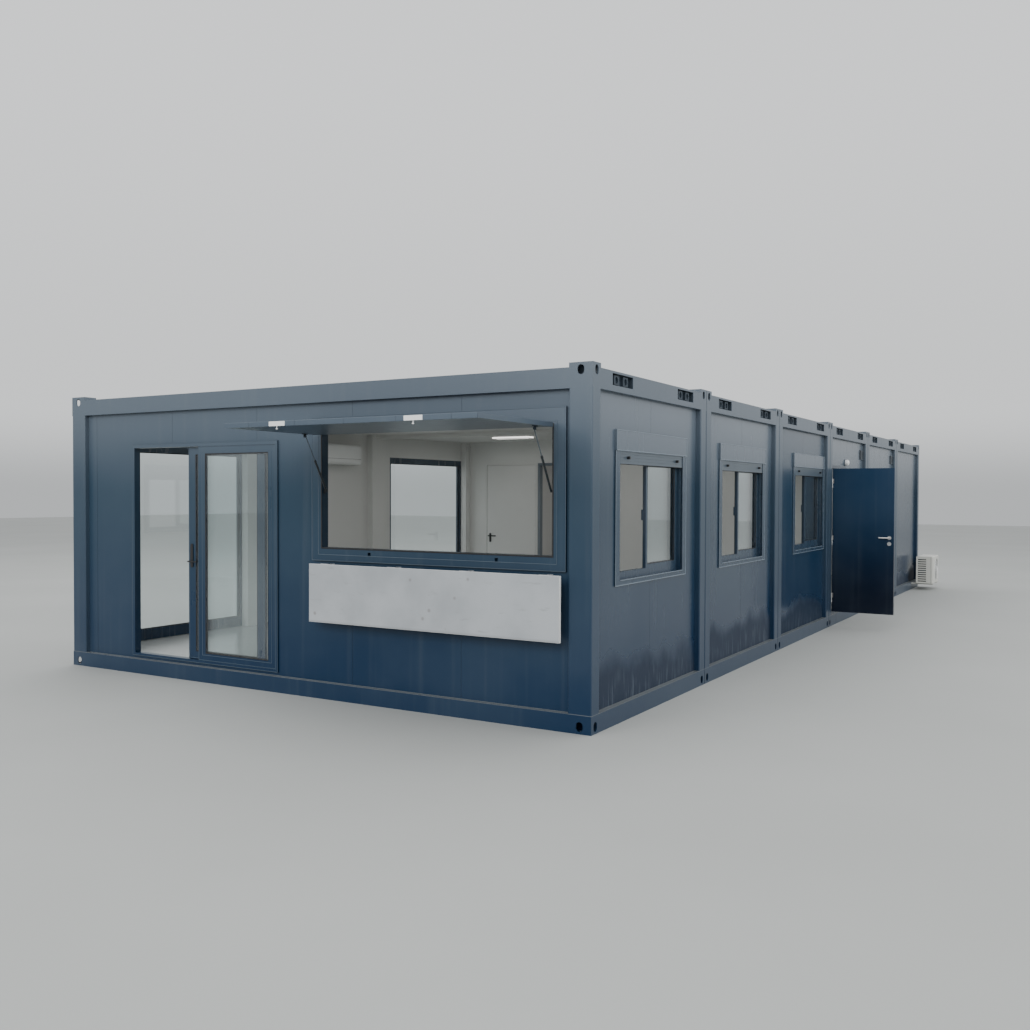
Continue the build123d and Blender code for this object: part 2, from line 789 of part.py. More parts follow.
hatch_x = (right - hatch_start - hatch_width, right - hatch_start)
hatch_y = (front_outer - hatch_proud, front_outer - hatch_proud + hatch_depth)
flap_x = (hatch_x[0] + flap_margin, hatch_x[1] - flap_margin)
flap_axis_y = hatch_y[0] - flap_face_clearance - flap_thickness
flap_axis_z = hatch_top - flap_hinge_drop
strut_xs = (hatch_x[0] + hatch_rim_side + strut_inset, hatch_x[1] - hatch_rim_side - strut_inset)
strut_head = (flap_axis_y - strut_pivot_back, flap_axis_z - strut_pivot_drop)
strut_foot = (front + strut_foot_back, flap_axis_z - strut_foot_drop)
flap_reach = flap_axis_z - flap_hinge_gap - hatch_bottom - flap_lap


def hatch():
    """Hatch frame, lifted flap with its latches, and the struts that hold it up."""
    rims = (hatch_rim_side, hatch_rim_side, hatch_rim_bottom, hatch_rim_top)
    frame = ring(hatch_x, hatch_y, (hatch_bottom, hatch_top), rims, "y")
    hinge_xs = spread(flap_x, flap_hinge_count, flap_hinge_length)
    for x in hinge_xs:
        frame = frame + hinge_knuckle((x, x + flap_hinge_length / 2 - seat_clearance), hatch_y[0])
    for keeper in keeper_pockets():
        frame = frame - keeper
    save("hatch_frame", frame)
    low_y = flap_axis_y - flap_hinge_gap - flap_reach
    high_y = flap_axis_y - flap_hinge_gap
    flap_z = (flap_axis_z - flap_thickness, flap_axis_z)
    flap = block(flap_x, (low_y, high_y), flap_z)
    for x in hinge_xs:
        flap = flap + flap_knuckle((x + flap_hinge_length / 2, x + flap_hinge_length), high_y)
    save("hatch_flap", flap)
    flap_fittings(low_y, flap_z)
    struts()


def latch_spans():
    """X limits of the latch plates on the flap's free edge."""
    for offset in latch_offsets:
        yield flap_x[0] + offset, flap_x[0] + offset + latch_length


def keeper_pockets():
    """Pockets in the frame's bottom rail that take the knobs of the closed flap."""
    reach = latch_knob_radius + keeper_clearance
    knob_z = flap_axis_z - flap_hinge_gap - flap_reach - latch_thickness / 2
    for x in latch_spans():
        middle = sum(x) / 2
        pocket_y = (hatch_y[0] - 1, hatch_y[0] + latch_knob_length + keeper_clearance)
        yield block((middle - reach, middle + reach), pocket_y, (knob_z - reach, knob_z + reach))


def spread(span, count, length):
    """Starts of like pieces set evenly along a span."""
    run = span[1] - span[0] - length
    return [span[0] + run * (place + 0.5) / count for place in range(count)]


def hinge_knuckle(x, face_y):
    """Half of a hinge barrel on an arm from the hatch frame."""
    barrel = rod((x[0], flap_axis_y, flap_axis_z), (x[1], flap_axis_y, flap_axis_z), flap_hinge_radius)
    arm_z = (flap_axis_z + flap_hinge_radius - flap_hinge_arm, flap_axis_z + flap_hinge_radius)
    arm = block(x, (flap_axis_y, face_y), arm_z)
    return barrel + arm


def flap_knuckle(x, edge_y):
    barrel = rod((x[0], flap_axis_y, flap_axis_z), (x[1], flap_axis_y, flap_axis_z), flap_hinge_radius)
    arm_z = (flap_axis_z - flap_hinge_radius, flap_axis_z - flap_hinge_radius + flap_hinge_arm)
    return barrel + block(x, (edge_y, flap_axis_y), arm_z)


def flap_fittings(low_y, flap_z):
    """Latch plates with knobs on the flap's free edge, and the strut brackets."""
    pieces = []
    for x in latch_spans():
        plate = block(x, (low_y - latch_thickness, low_y), flap_z)
        middle = sum(x) / 2
        knob_top = (middle, low_y - latch_thickness / 2, flap_z[0] + latch_knob_radius)
        knob_end = (middle, low_y - latch_thickness / 2, flap_z[0] - latch_knob_length)
        base = rod(knob_top, knob_end, latch_thickness / 2)
        grip = rod((middle, knob_end[1], knob_end[2] + latch_knob_radius), knob_end, latch_knob_radius)
        pieces.append(plate + base + grip)
    head_y, head_z = strut_head
    for x, outward in zip(strut_xs, (-1, 1)):
        face = x + outward * (strut_eye_width / 2 + seat_clearance)
        plate_x = (face, face + outward * fitting_plate)
        eye_y = (head_y - fitting_eye_half, head_y + fitting_eye_half)
        plate = block(plate_x, eye_y, (head_z - fitting_eye_drop, flap_z[0]))
        flange_y = (head_y - fitting_flange_half, head_y + fitting_flange_half)
        flange = block(plate_x, flange_y, (flap_z[0] - fitting_flange, flap_z[0]))
        pin_end = face - outward * (strut_eye_width - 1)
        pin = rod((face, head_y, head_z), (pin_end, head_y, head_z), strut_pin_radius)
        pieces.append(plate + flange + pin)
    save("flap_fittings", *pieces)


def struts():
    """Gas struts: rod hung from the flap, tube sliding on it, foot pin on the jamb."""
    head_y, head_z = strut_head
    foot_y, foot_z = strut_foot
    run = Vector(0, foot_y - head_y, foot_z - head_z)
    way = run.normalized()
    rods, tubes, feet = [], [], []
    for x, outward in zip(strut_xs, (-1, 1)):
        head = Vector(x, head_y, head_z)
        foot = Vector(x, foot_y, foot_z)
        half = strut_eye_width / 2
        eye = rod((x - half, head_y, head_z), (x + half, head_y, head_z), strut_eye_radius)
        stem_end = foot - way * (strut_tube_length - strut_stem_end + strut_eye_radius)
        stem = rod(tuple(head + way * (strut_pin_radius + 2)), tuple(stem_end), strut_rod_radius)
        bore_ends = ((x - half - 1, head_y, head_z), (x + half + 1, head_y, head_z))
        rods.append(eye + stem - rod(*bore_ends, strut_pin_radius + seat_clearance))
        tube_top = foot - way * (strut_tube_length + strut_eye_radius)
        tube_low = foot - way * (strut_eye_radius - 2)
        tube = rod(tuple(tube_top), tuple(tube_low), strut_tube_radius)
        tube = tube - rod(tuple(tube_top - way), tuple(tube_low - way * 6), strut_rod_radius + seat_clearance)
        eye = rod((x - half, foot_y, foot_z), (x + half, foot_y, foot_z), strut_eye_radius)
        tubes.append(tube + eye)
        jamb = x + outward * strut_inset
        plate_x = jamb - outward * strut_foot_plate
        plate_y = (foot_y - strut_foot_width / 2, foot_y + strut_foot_width / 2)
        plate_z = (foot_z - strut_foot_height / 2, foot_z + strut_foot_height / 2)
        plate = block((jamb, plate_x), plate_y, plate_z)
        pin_end = x + outward * (strut_tube_radius + seat_clearance)
        feet.append(plate + rod((plate_x, foot_y, foot_z), (pin_end, foot_y, foot_z), strut_pin_radius))
    save("strut_rods", *rods)
    save("strut_tubes", *tubes)
    save("strut_feet", *feet)


counter_x = (right - counter_start - counter_width, right - counter_start)
counter_axis_y = front - counter_hinge_out
counter_axis_z = counter_top


def counter():
    """Drop-leaf counter board on four stand-off brackets under the hatch."""
    board_back = counter_axis_y - counter_hinge_radius
    board_y = (board_back - counter_thickness, board_back)
    board_z = (counter_top - counter_drop, counter_top)
    board = block(counter_x, board_y, board_z)
    board = fillet(board.edges().filter_by(Axis.Y), counter_round)
    save("counter_board", board)
    brackets, leaves = [], []
    for offset in counter_bracket_offsets:
        middle = counter_x[0] + offset
        half = counter_bracket_width / 2
        plate_z = (counter_top - counter_plate_height, counter_top)
        plate = block((middle - half, middle + half), (front_outer - counter_plate, front_outer), plate_z)
        arm_z = (counter_axis_z - counter_arm_height, counter_axis_z)
        arm_y = (counter_axis_y, front_outer - counter_plate)
        arm = block((middle - counter_plate, middle), arm_y, arm_z)
        barrel_x = (middle - counter_hinge_length / 2, middle - seat_clearance)
        barrel = rod(
            (barrel_x[0], counter_axis_y, counter_axis_z),
            (barrel_x[1], counter_axis_y, counter_axis_z),
            counter_hinge_radius - counter_barrel_play,
        )
        brackets.append(plate + arm + barrel)
        leaf_x = (middle, middle + counter_hinge_length / 2)
        knuckle = rod(
            (leaf_x[0], counter_axis_y, counter_axis_z),
            (leaf_x[1], counter_axis_y, counter_axis_z),
            counter_hinge_radius - counter_barrel_play,
        )
        leaf_y = (board_y[1], board_y[1] + counter_leaf_plate)
        leaves.append(knuckle + block(leaf_x, leaf_y, (counter_axis_z - counter_leaf_height, counter_axis_z)))
    save("counter_brackets", *brackets)
    save("counter_hinges", *leaves)


def windows():
    """Sliding windows with roller shutters in the right ends of modules 1 to 3."""
    frames, sashes, panes, boxes, curtains = [], [], [], [], []
    x = (wall_outer + window_frame_proud - window_frame_depth, wall_outer + window_frame_proud)
    for index in range(3):
        y = window_span(index)
        frame_top = window_top - shutter_box_height
        frame = block(x, y, (window_bottom, frame_top))
        outer_y = (y[0] + window_rim, y[1] - window_rim)
        outer_z = (window_bottom + window_rim_bottom, frame_top - window_rim_top)
        clear_y = (outer_y[0] + window_step, outer_y[1] - window_step)
        clear_z = (outer_z[0] + window_step_bottom, outer_z[1] - window_step)
        frame = frame - block((x[1] - sash_setback, x[1] + 1), outer_y, outer_z)
        frame = frame - block((x[0] - 1, x[1] + 1), clear_y, clear_z)
        slot_x = (x[1] - shutter_slot_set - shutter_thickness - 2 * shutter_play, x[1] - shutter_slot_set)
        slot_y = (outer_y[0] - shutter_guide, outer_y[1] + shutter_guide)
        frame = frame - block(slot_x, slot_y, (outer_z[0], frame_top + 1))
        frame = frame - block((slot_x[0], x[1] + 1), outer_y, (outer_z[1] - 1, frame_top + 1))
        frames.append(frame)
        boxes.append(shutter_box(y))
        curtain_x = (slot_x[0] + shutter_play, slot_x[1] - shutter_play)
        curtain_y = (slot_y[0] + shutter_play, slot_y[1] - shutter_play)
        low = window_top - shutter_box_height - shutter_drop
        middle = sum(outer_y) / 2
        curtain = block(curtain_x, curtain_y, (low, window_top - shutter_box_height - seat_clearance))
        for groove in slat_grooves(curtain_x[1], curtain_y, low):
            curtain = curtain - groove
        stop_z = low + shutter_drop / 2 - slat_groove / 2
        for stop_y in (middle - stop_spread, middle + stop_spread):
            stop_root = (curtain_x[1] - shutter_thickness / 2, stop_y, stop_z)
            curtain = curtain + rod(stop_root, (curtain_x[1] + stop_proud, stop_y, stop_z), stop_radius)
        curtains.append(curtain)
        outer_x = (x[1] - sash_setback - sash_depth, x[1] - sash_setback)
        inner_x = (outer_x[0] - sash_gap - sash_depth, outer_x[0] - sash_gap)
        wide = (clear_y[1] - clear_y[0] + sash_overlap) / 2
        near_y = clear_y[1] - wide
        hidden_y = near_y + sash_overlap - sash_stile
        sliding, sliding_pane = sash_and_pane(outer_x, (near_y, clear_y[1]), clear_z)
        fixed, fixed_pane = sash_and_pane(inner_x, (hidden_y, clear_y[1]), clear_z)
        sashes += [sliding + sash_pull(outer_x[0], near_y), fixed]
        panes += [sliding_pane, fixed_pane]
    save("window_frames", *frames)
    save("shutter_boxes", *boxes)
    save("shutter_curtains", *curtains)
    save("window_sashes", *sashes)
    return panes


def slat_grooves(face, y, low):
    """Grooves that part the slats of a shutter curtain."""
    for place in range(1, round(shutter_drop / shutter_slat)):
        z = low + place * shutter_slat
        yield block((face - slat_groove, face + 1), (y[0] - 1, y[1] + 1), (z - slat_groove, z))


def shutter_box(y):
    """Rounded box over the window that holds the rolled-up shutter."""
    x_out = wall_outer + shutter_box_proud
    x_in = wall_outer + window_frame_proud - window_frame_depth
    box = block((x_in, x_out), y, (window_top - shutter_box_height, window_top))
    edge = box.edges().filter_by(Axis.Y).group_by(Axis.X)[-1]
    return fillet(edge, shutter_box_round)


def sash_pull(back_x, near_y):
    """Small upright grip on the room side of the sash that slides."""
    z = (sash_pull_centre - sash_pull_height / 2, sash_pull_centre + sash_pull_height / 2)
    return block((back_x - sash_pull_reach, back_x), (near_y, near_y + sash_pull_width), z)


def sash_and_pane(x, y, z):
    rims = (sash_stile, sash_stile, sash_stile, sash_stile)
    sash = ring(x, y, z, rims, "x")
    middle = sum(x) / 2
    pane_x = (middle - sash_glass / 2, middle + sash_glass / 2)
    pane = block(pane_x, (y[0] + sash_stile, y[1] - sash_stile), (z[0] + sash_stile, z[1] - sash_stile))
    return sash, pane


def side_door():
    """Outward-opening steel door in the right end of module 4, standing open."""
    start, end = door_span()
    x_out = wall_outer + patio_proud
    x = (x_out - door_frame_depth, x_out)
    axis_x = x_out + door_hinge_out - patio_proud
    axis_y = door_hinge_y()
    face_closed = axis_x - door_leaf_back
    pocket_x = (face_closed - door_leaf_thickness - door_stop_gap, right + 1)
    pocket_y = (start + door_rim, end - door_rim)
    frame = block(x, (start, end), (floor_beam_height, door_frame_top))
    frame = frame - block(pocket_x, pocket_y, (door_bottom - door_stop_gap, door_frame_top - door_rim))
    way_y = (pocket_y[0] + door_rebate, pocket_y[1] - door_rebate)
    way_z = (door_bottom - door_stop_gap, door_frame_top - door_rim - door_rebate)
    frame = frame - block((x[0] - 1, x[1] + 1), way_y, way_z)
    strap_y = (axis_y - door_hinge_radius, axis_y - door_hinge_radius + door_hinge_leaf)
    for height in door_hinge_heights:
        z = (height - seat_clearance - door_hinge_length, height - seat_clearance)
        frame = frame + rod((axis_x, axis_y, z[0]), (axis_x, axis_y, z[1]), door_hinge_radius)
        frame = frame + block((x_out, axis_x), strap_y, z)
    save("side_door_frame", frame)
    leaf_x = (axis_x + door_hinge_gap, axis_x + door_hinge_gap + door_leaf_width)
    leaf_y = (axis_y + door_leaf_back, axis_y + door_leaf_back + door_leaf_thickness)
    save("side_door_leaf", block(leaf_x, leaf_y, (door_bottom, door_top)))
    knuckles = []
    for height in door_hinge_heights:
        z = (height, height + door_hinge_length)
        barrel = rod((axis_x, axis_y, z[0]), (axis_x, axis_y, z[1]), door_hinge_radius)
        tab = block((axis_x, axis_x + door_hinge_tab), (leaf_y[0] - door_hinge_leaf, leaf_y[0]), z)
        knuckles.append(barrel + tab)
    save("side_door_hinges", *knuckles)
    lever_x = leaf_x[1] - lever_backset
    levers = []
    for face_y, outward in ((leaf_y[0], -1), (leaf_y[1], 1)):
        place = (lever_x, face_y, lever_height)
        rose_end = face_y + outward * lever_plate_thickness
        rose = rod(place, (lever_x, rose_end, lever_height), rose_radius)
        levers.append(rose + lever(place, (0, outward, 0), (-1, 0, 0)))
        low = lever_height - rose_drop
        rose = rod((lever_x, face_y, low), (lever_x, rose_end, low), rose_radius)
        cylinder_end = face_y + outward * cylinder_reach
        cylinder = rod((lever_x, face_y, low), (lever_x, cylinder_end, low), cylinder_radius)
        levers.append(rose + cylinder)
    save("side_door_levers", *levers)


def vent_grille(far):
    """Louvred wall grille whose far edge is at the given Y."""
    y = (far - vent_width, far)
    z = (ceiling_height - vent_drop, ceiling_height - vent_drop + vent_height)
    face = wall_outer + vent_thickness
    grille = block((wall_outer, face), y, z)
    step = (vent_height - 2 * vent_rim) / vent_slot_count
    for place in range(vent_slot_count):
        low = z[0] + vent_rim + step * place + (step - vent_slot) / 2
        slot_y = (y[0] + vent_rim, y[1] - vent_rim)
        grille = grille - block((face - vent_slot_depth, face + 1), slot_y, (low, low + vent_slot))
    return grille


def outdoor_unit():
    """Cooling unit on two rails beside the last module, its fan facing outward."""
    x = (right + outdoor_gap, right + outdoor_gap + outdoor_depth)
    y = (back - outdoor_end_gap - outdoor_length, back - outdoor_end_gap)
    z = (outdoor_bottom, outdoor_bottom + outdoor_height)
    case = block(x, y, z)
    case = fillet(case.edges().filter_by(Axis.Y).group_by(Axis.Z)[-1], outdoor_round)
    fan_y = sum(y) / 2 + outdoor_fan_shift
    fan_z = sum(z) / 2
    fan_x = (x[1] - outdoor_fan_depth, x[1] + 1)
    case = case - rod((fan_x[0], fan_y, fan_z), (fan_x[1], fan_y, fan_z), outdoor_fan_radius)
    hub_end = x[1] - outdoor_fan_depth / 2
    case = case + rod((fan_x[0] - 1, fan_y, fan_z), (hub_end, fan_y, fan_z), outdoor_fan_radius / 4)
    louvre_x = (x[0] + outdoor_rail, x[0] + outdoor_rail + outdoor_louvre_width)
    step = (outdoor_height - 2 * outdoor_rail) / outdoor_louvre_count
    for place in range(outdoor_louvre_count):
        low = z[0] + outdoor_rail + step * place
        case = case - block(louvre_x, (y[0] - 1, y[0] + outdoor_louvre_depth), (low, low + step / 2))
    for rail_y in (y[0] + outdoor_rail_inset, y[1] - outdoor_rail_inset):
        span = (rail_y - outdoor_rail / 2, rail_y + outdoor_rail / 2)
        case = case + block((right, x[1]), span, (z[0] - outdoor_rail, z[0]))
    save("outdoor_unit", case)


def equipment():
    """Ceiling lamps, bulkhead lamp, vent grilles and the wall-mounted cooler."""
    lamps = []
    for index in range(module_count):
        middle = module_start(index) + module_width / 2
        y = (middle - lamp_width / 2, middle + lamp_width / 2)
        for side in (-1, 1):
            x = (side * lamp_side_offset - lamp_length / 2, side * lamp_side_offset + lamp_length / 2)
            lamps.append(block(x, y, (ceiling_height - lamp_thickness, ceiling_height)))
    save("ceiling_lamps", *lamps)
    vents = []
    for index in vent_modules:
        vents.append(vent_grille(side_span(index)[1] - vent_margin))
    save("vent_grilles", *vents)
    middle = module_start(door_module) + bulkhead_centre
    z = door_frame_top + bulkhead_gap + bulkhead_radius
    lamp = rod((wall_outer, middle, z), (wall_outer + bulkhead_reach, middle, z), bulkhead_radius)
    save("bulkhead_lamp", fillet(lamp.edges().group_by(Axis.X)[-1], bulkhead_dome))
    y = module_start(cooler_module) + cooler_offset
    x = (-wall_inner, -wall_inner + cooler_depth)
    cooler_bottom = ceiling_height - cooler_drop
    z = (cooler_bottom, cooler_bottom + cooler_height)
    cooler = block(x, (y, y + cooler_length), z)
    front_edges = cooler.edges().filter_by(Axis.Y).group_by(Axis.X)[-1]
    save("indoor_cooler", fillet(front_edges, cooler_round))


os.makedirs("parts", exist_ok=True)
frames_and_posts()
socket_plates()
floors_and_roofs()
joint_trims()
walls()
partition()
fixed_panes = patio_door() + left_glazing() + windows()
save("fixed_panes", *fixed_panes)
hatch()
counter()
side_door()
equipment()
outdoor_unit()
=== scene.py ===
# %% [markdown]
# # A site cabin made of six steel modules
#
# The building is six steel frames side by side, closed with flat insulated panels and painted
# one dark blue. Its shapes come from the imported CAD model, which this script loads as a fixed
# frame. Everything here adds what paint, glass, rubber and small fittings give to those shapes.

# %% Load the frame
import bmesh
import bpy
import math
import numpy as np
from mathutils import Matrix, Vector


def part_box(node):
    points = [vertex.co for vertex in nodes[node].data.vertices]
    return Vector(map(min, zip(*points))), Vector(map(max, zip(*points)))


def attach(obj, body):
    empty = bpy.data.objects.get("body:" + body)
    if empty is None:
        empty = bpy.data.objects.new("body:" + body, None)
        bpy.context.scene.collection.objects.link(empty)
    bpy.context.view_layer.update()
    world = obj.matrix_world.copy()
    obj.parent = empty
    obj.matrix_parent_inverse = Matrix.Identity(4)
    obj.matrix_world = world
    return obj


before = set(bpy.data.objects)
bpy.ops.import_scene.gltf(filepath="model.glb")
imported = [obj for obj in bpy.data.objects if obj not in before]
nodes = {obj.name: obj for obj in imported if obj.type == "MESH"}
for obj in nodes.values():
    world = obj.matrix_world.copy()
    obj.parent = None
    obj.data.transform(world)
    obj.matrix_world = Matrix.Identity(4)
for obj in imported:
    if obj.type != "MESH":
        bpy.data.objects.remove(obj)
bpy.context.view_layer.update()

# %% [markdown]
# ## Sizes that the finishes and fittings need
#
# The modules repeat along Y, so most places come from one pitch. The values are metres and
# match the steelwork: a module is 2.435 m wide, and 8 mm of seal parts it from the next one.
# The outer faces come from the boxes of the nodes, so a fitting always sits on its real face.

# %% Module sizes
module_count = 6
module_width = 2.435
seal_gap = 0.008
pitch = module_width + seal_gap
post_low, post_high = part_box("posts")
left, right, front = post_low[0], post_high[0], post_low[1]
wall_low, wall_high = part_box("right_wall_1")
wall_outer = wall_high[0]
half_wall = (wall_high[0] - wall_low[0]) / 2
front_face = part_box("front_wall_hatch")[0][1]
back_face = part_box("back_wall")[1][1]
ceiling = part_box("corner_linings")[1][2]
X, Y, Z = 0, 1, 2
print("front", round(front, 3), "right", round(right, 3), "back", round(back_face, 3))


def module_middle(index):
    """Y of the middle of a module's end."""
    return front + index * pitch + module_width / 2


# %% [markdown]
# ## The camera
#
# The photograph was taken at eye height outside the front right corner. Blender's camera looks
# along its own -Z, so the matrix is built from three directions: right, up and backwards. The
# camera points about one degree down, which keeps the posts almost upright in the picture.

# %% Camera
camera_place = (6.3725, -6.820, 1.811)
camera_yaw = math.radians(-30.582)
camera_pitch = math.radians(-1.198)
camera_roll = math.radians(-0.191)
focal_pixels = 1013.47
picture_pixels = 1030
sensor_width = 36.0

forward = Vector((
    math.sin(camera_yaw) * math.cos(camera_pitch),
    math.cos(camera_yaw) * math.cos(camera_pitch),
    math.sin(camera_pitch),
))
level = Vector((math.cos(camera_yaw), -math.sin(camera_yaw), 0.0))
down = forward.cross(level)
side = level * math.cos(camera_roll) + down * math.sin(camera_roll)
upright = level * math.sin(camera_roll) - down * math.cos(camera_roll)

camera_data = bpy.data.cameras.new("camera")
camera_data.sensor_width = sensor_width
camera_data.lens = sensor_width * focal_pixels / picture_pixels
camera_data.clip_end = 200.0
camera = bpy.data.objects.new("camera", camera_data)
turn = Matrix((side, upright, -forward)).transposed()
camera.matrix_world = Matrix.Translation(camera_place) @ turn.to_4x4()
bpy.context.scene.collection.objects.link(camera)
bpy.context.scene.camera = camera
print("lens", round(camera_data.lens, 2), "mm")

# %% [markdown]
# ## Shader maths as plain expressions
#
# A material is a graph, and a graph is hard to read. `Value` wraps one output socket, so that
# `mask * 0.5 + 0.1` adds the two Math nodes by itself. The reflected forms are there so that
# `1 - mask` works too. A few longer patterns have names: a smooth rise, a thin line, a repeat.


# %% Value
class Value:
    """A number inside a material. Arithmetic on it adds Math nodes."""

    def __init__(self, finish, socket):
        self.finish = finish
        self.socket = socket

    def math(self, operation, *others):
        made = self.finish.node("ShaderNodeMath", {"operation": operation}, [self, *others])
        return Value(self.finish, made.outputs[0])

    def __add__(self, other):
        return self.math("ADD", other)

    def __mul__(self, other):
        return self.math("MULTIPLY", other)

    def __sub__(self, other):
        return self.math("SUBTRACT", other)

    def __truediv__(self, other):
        return self.math("DIVIDE", other)

    def __pow__(self, other):
        return self.math("POWER", other)

    def __rsub__(self, other):
        return self.math("MULTIPLY", -1.0).math("ADD", other)

    __radd__ = __add__
    __rmul__ = __mul__

    def rise(self, start, end):
        """0 before start, 1 after end, and a smooth step between them."""
        settings = {"interpolation_type": "SMOOTHSTEP"}
        inputs = {"Value": self, "From Min": start, "From Max": end}
        made = self.finish.node("ShaderNodeMapRange", settings, inputs)
        return Value(self.finish, made.outputs["Result"])

    def line(self, place, half_width):
        """1 on a thin line where the value is place, 0 away from it."""
        return 1 - (self - place).math("ABSOLUTE").rise(half_width * 0.4, half_width)

    def within(self, low, high, soft=0.001):
        """1 between low and high, 0 outside."""
        return self.rise(low - soft, low + soft) * (1 - self.rise(high - soft, high + soft))

    def repeat(self, start, step):
        """Signed distance to the nearest of start, start + step, start + 2 step and so on."""
        shifted = self - (start - step / 2)
        return shifted.math("FLOORED_MODULO", step) - step / 2


# %% [markdown]
# ## Starting a material
#
# `Finish` starts an empty graph, of a material or of the sky, and keeps its coordinates at hand.
# One method, `node`, makes any node: its settings come first, then its inputs. Colours can't go
# through a Math node, which would turn them grey, so `mix` blends them with a Mix node.


# %% Finish
class Finish:
    """A material or a sky under construction. made is what Blender keeps."""

    def __init__(self, name, kind="Material"):
        owner = bpy.data.worlds if kind == "World" else bpy.data.materials
        self.made = owner.new(name)
        self.made.use_nodes = True
        self.tree = self.made.node_tree
        self.tree.nodes.clear()
        self.output = self.tree.nodes.new(f"ShaderNodeOutput{kind}")
        self.coordinates = self.node("ShaderNodeTexCoord").outputs
        self.position = self.coordinates["Object"]

    def node(self, kind, settings=None, inputs=None):
        made = self.tree.nodes.new(kind)
        for name, value in (settings or {}).items():
            if name == "stops":
                self.set_stops(made.color_ramp, value)
            else:
                setattr(made, name, value)
        pairs = inputs.items() if isinstance(inputs, dict) else enumerate(inputs or [])
        for key, value in pairs:
            self.feed(made.inputs[key], value)
        return made

    def set_stops(self, ramp, stops):
        """Stops of a colour ramp, each a place and a colour, with an eased step between them."""
        ramp.interpolation = "EASE"
        while len(ramp.elements) < len(stops):
            ramp.elements.new(0.5)
        for element, (place, colour) in zip(ramp.elements, stops):
            element.position = place
            element.color = (*colour, 1.0)

    def feed(self, socket, value):
        if isinstance(value, Value):
            value = value.socket
        if isinstance(value, bpy.types.NodeSocket):
            self.tree.links.new(value, socket)
        elif socket.type == "RGBA" and len(value) == 3:
            socket.default_value = (*value, 1.0)
        else:
            socket.default_value = value

    def axis(self, letter, source=None):
        parts = self.node("ShaderNodeSeparateXYZ", inputs=[source or self.position])
        return Value(self, parts.outputs[letter])

    def beyond(self, letter, plane, way, soft=0.001):
        """1 on one side of a plane, 0 on the other: way is +1 past the plane, -1 before it."""
        past = self.axis(letter).rise(plane - soft, plane + soft)
        return past if way > 0 else 1 - past

    def facing(self, letter):
        """1 on faces that look along the axis, either way, and 0 on the others."""
        return self.axis(letter, self.coordinates["Normal"]).math("ABSOLUTE").rise(0.5, 0.8)

    def stretched(self, scale):
        inputs = {"Vector": self.position, "Scale": scale}
        return self.node("ShaderNodeMapping", inputs=inputs).outputs[0]

    def noise(self, scale, detail=3.0, stretch=(1, 1, 1)):
        inputs = {"Vector": self.stretched(stretch), "Scale": scale, "Detail": detail}
        return Value(self, self.node("ShaderNodeTexNoise", inputs=inputs).outputs["Fac"])

    def cells(self, scale, stretch=(1, 1, 1)):
        """Distance to the nearest of many scattered points."""
        inputs = {"Vector": self.stretched(stretch), "Scale": scale}
        return Value(self, self.node("ShaderNodeTexVoronoi", inputs=inputs).outputs["Distance"])

    def mix(self, factor, first, second):
        made = self.node("ShaderNodeMix", {"data_type": "RGBA"}, {0: factor, 6: first, 7: second})
        return made.outputs[2]

    def bump(self, height, distance=1.0):
        inputs = {"Height": height, "Distance": distance}
        return self.node("ShaderNodeBump", inputs=inputs).outputs["Normal"]

    def close(self, shader):
        """Link the last shader to the output and hand over what was made."""
        self.feed(self.output.inputs["Surface"], shader.outputs[0])
        return self.made

    def surface(self, **sockets):
        inputs = {name.replace("_", " "): value for name, value in sockets.items()}
        return self.close(self.node("ShaderNodeBsdfPrincipled", inputs=inputs))


# %% [markdown]
# ## The blue paint
#
# The steel is sprayed a dark slate blue and dries to a soft gloss with a faint orange peel.
# The colour is painted paler towards the top and deeper towards the ground, as a painted
# reflection of the bright sky and the darker ground: under the roof it is a chalky grey-blue,
# and near the ground a deep navy. Rain leaves pale runs, and a dark, uneven band runs along
# the foot of the walls. All of that follows Object coordinates, which are the building's own
# metres, so it stays in place when a door moves.

# %% Paint colours
paint_deep = (0.002, 0.020, 0.054)
paint_middle = (0.018, 0.042, 0.070)
# Pale top colour: painted sky reflection; it also tints random faded patches.
paint_fade_and_sheen = (0.092, 0.118, 0.148)
# Dark colour for seam joints, and painted shade in the reveals.
paint_grime_and_shade = (0.001, 0.011, 0.028)
dust = (0.22, 0.23, 0.22)
foot_band_dark = (0.0005, 0.010, 0.030)
splash_pale = (0.13, 0.17, 0.21)
lining_white = (0.70, 0.70, 0.68)
ledge_height = 0.145
middle_heights = (0.25, 1.9)
sheen_heights = (1.75, 2.75)


def foot_band(finish, height, colour, amount):
    """Dark ragged band at the foot of a wall, with pale runs in it: the colour and the mask."""
    # Darker ragged band along the foot of the wall.
    edge = finish.noise(1.2, 7.0, stretch=(1.0, 1.0, 0.8)) * 0.90 - 0.02
    below = 1 - (height - edge).rise(-0.11, 0.09)
    colour = finish.mix(below * amount, colour, foot_band_dark)
    low = 1 - height.rise(0.16, 0.50)
    drips = finish.noise(5.0, 6.0, stretch=(6.0, 6.0, 0.9)).rise(0.50, 0.74)
    return finish.mix(low * drips * 0.38, colour, splash_pale), below
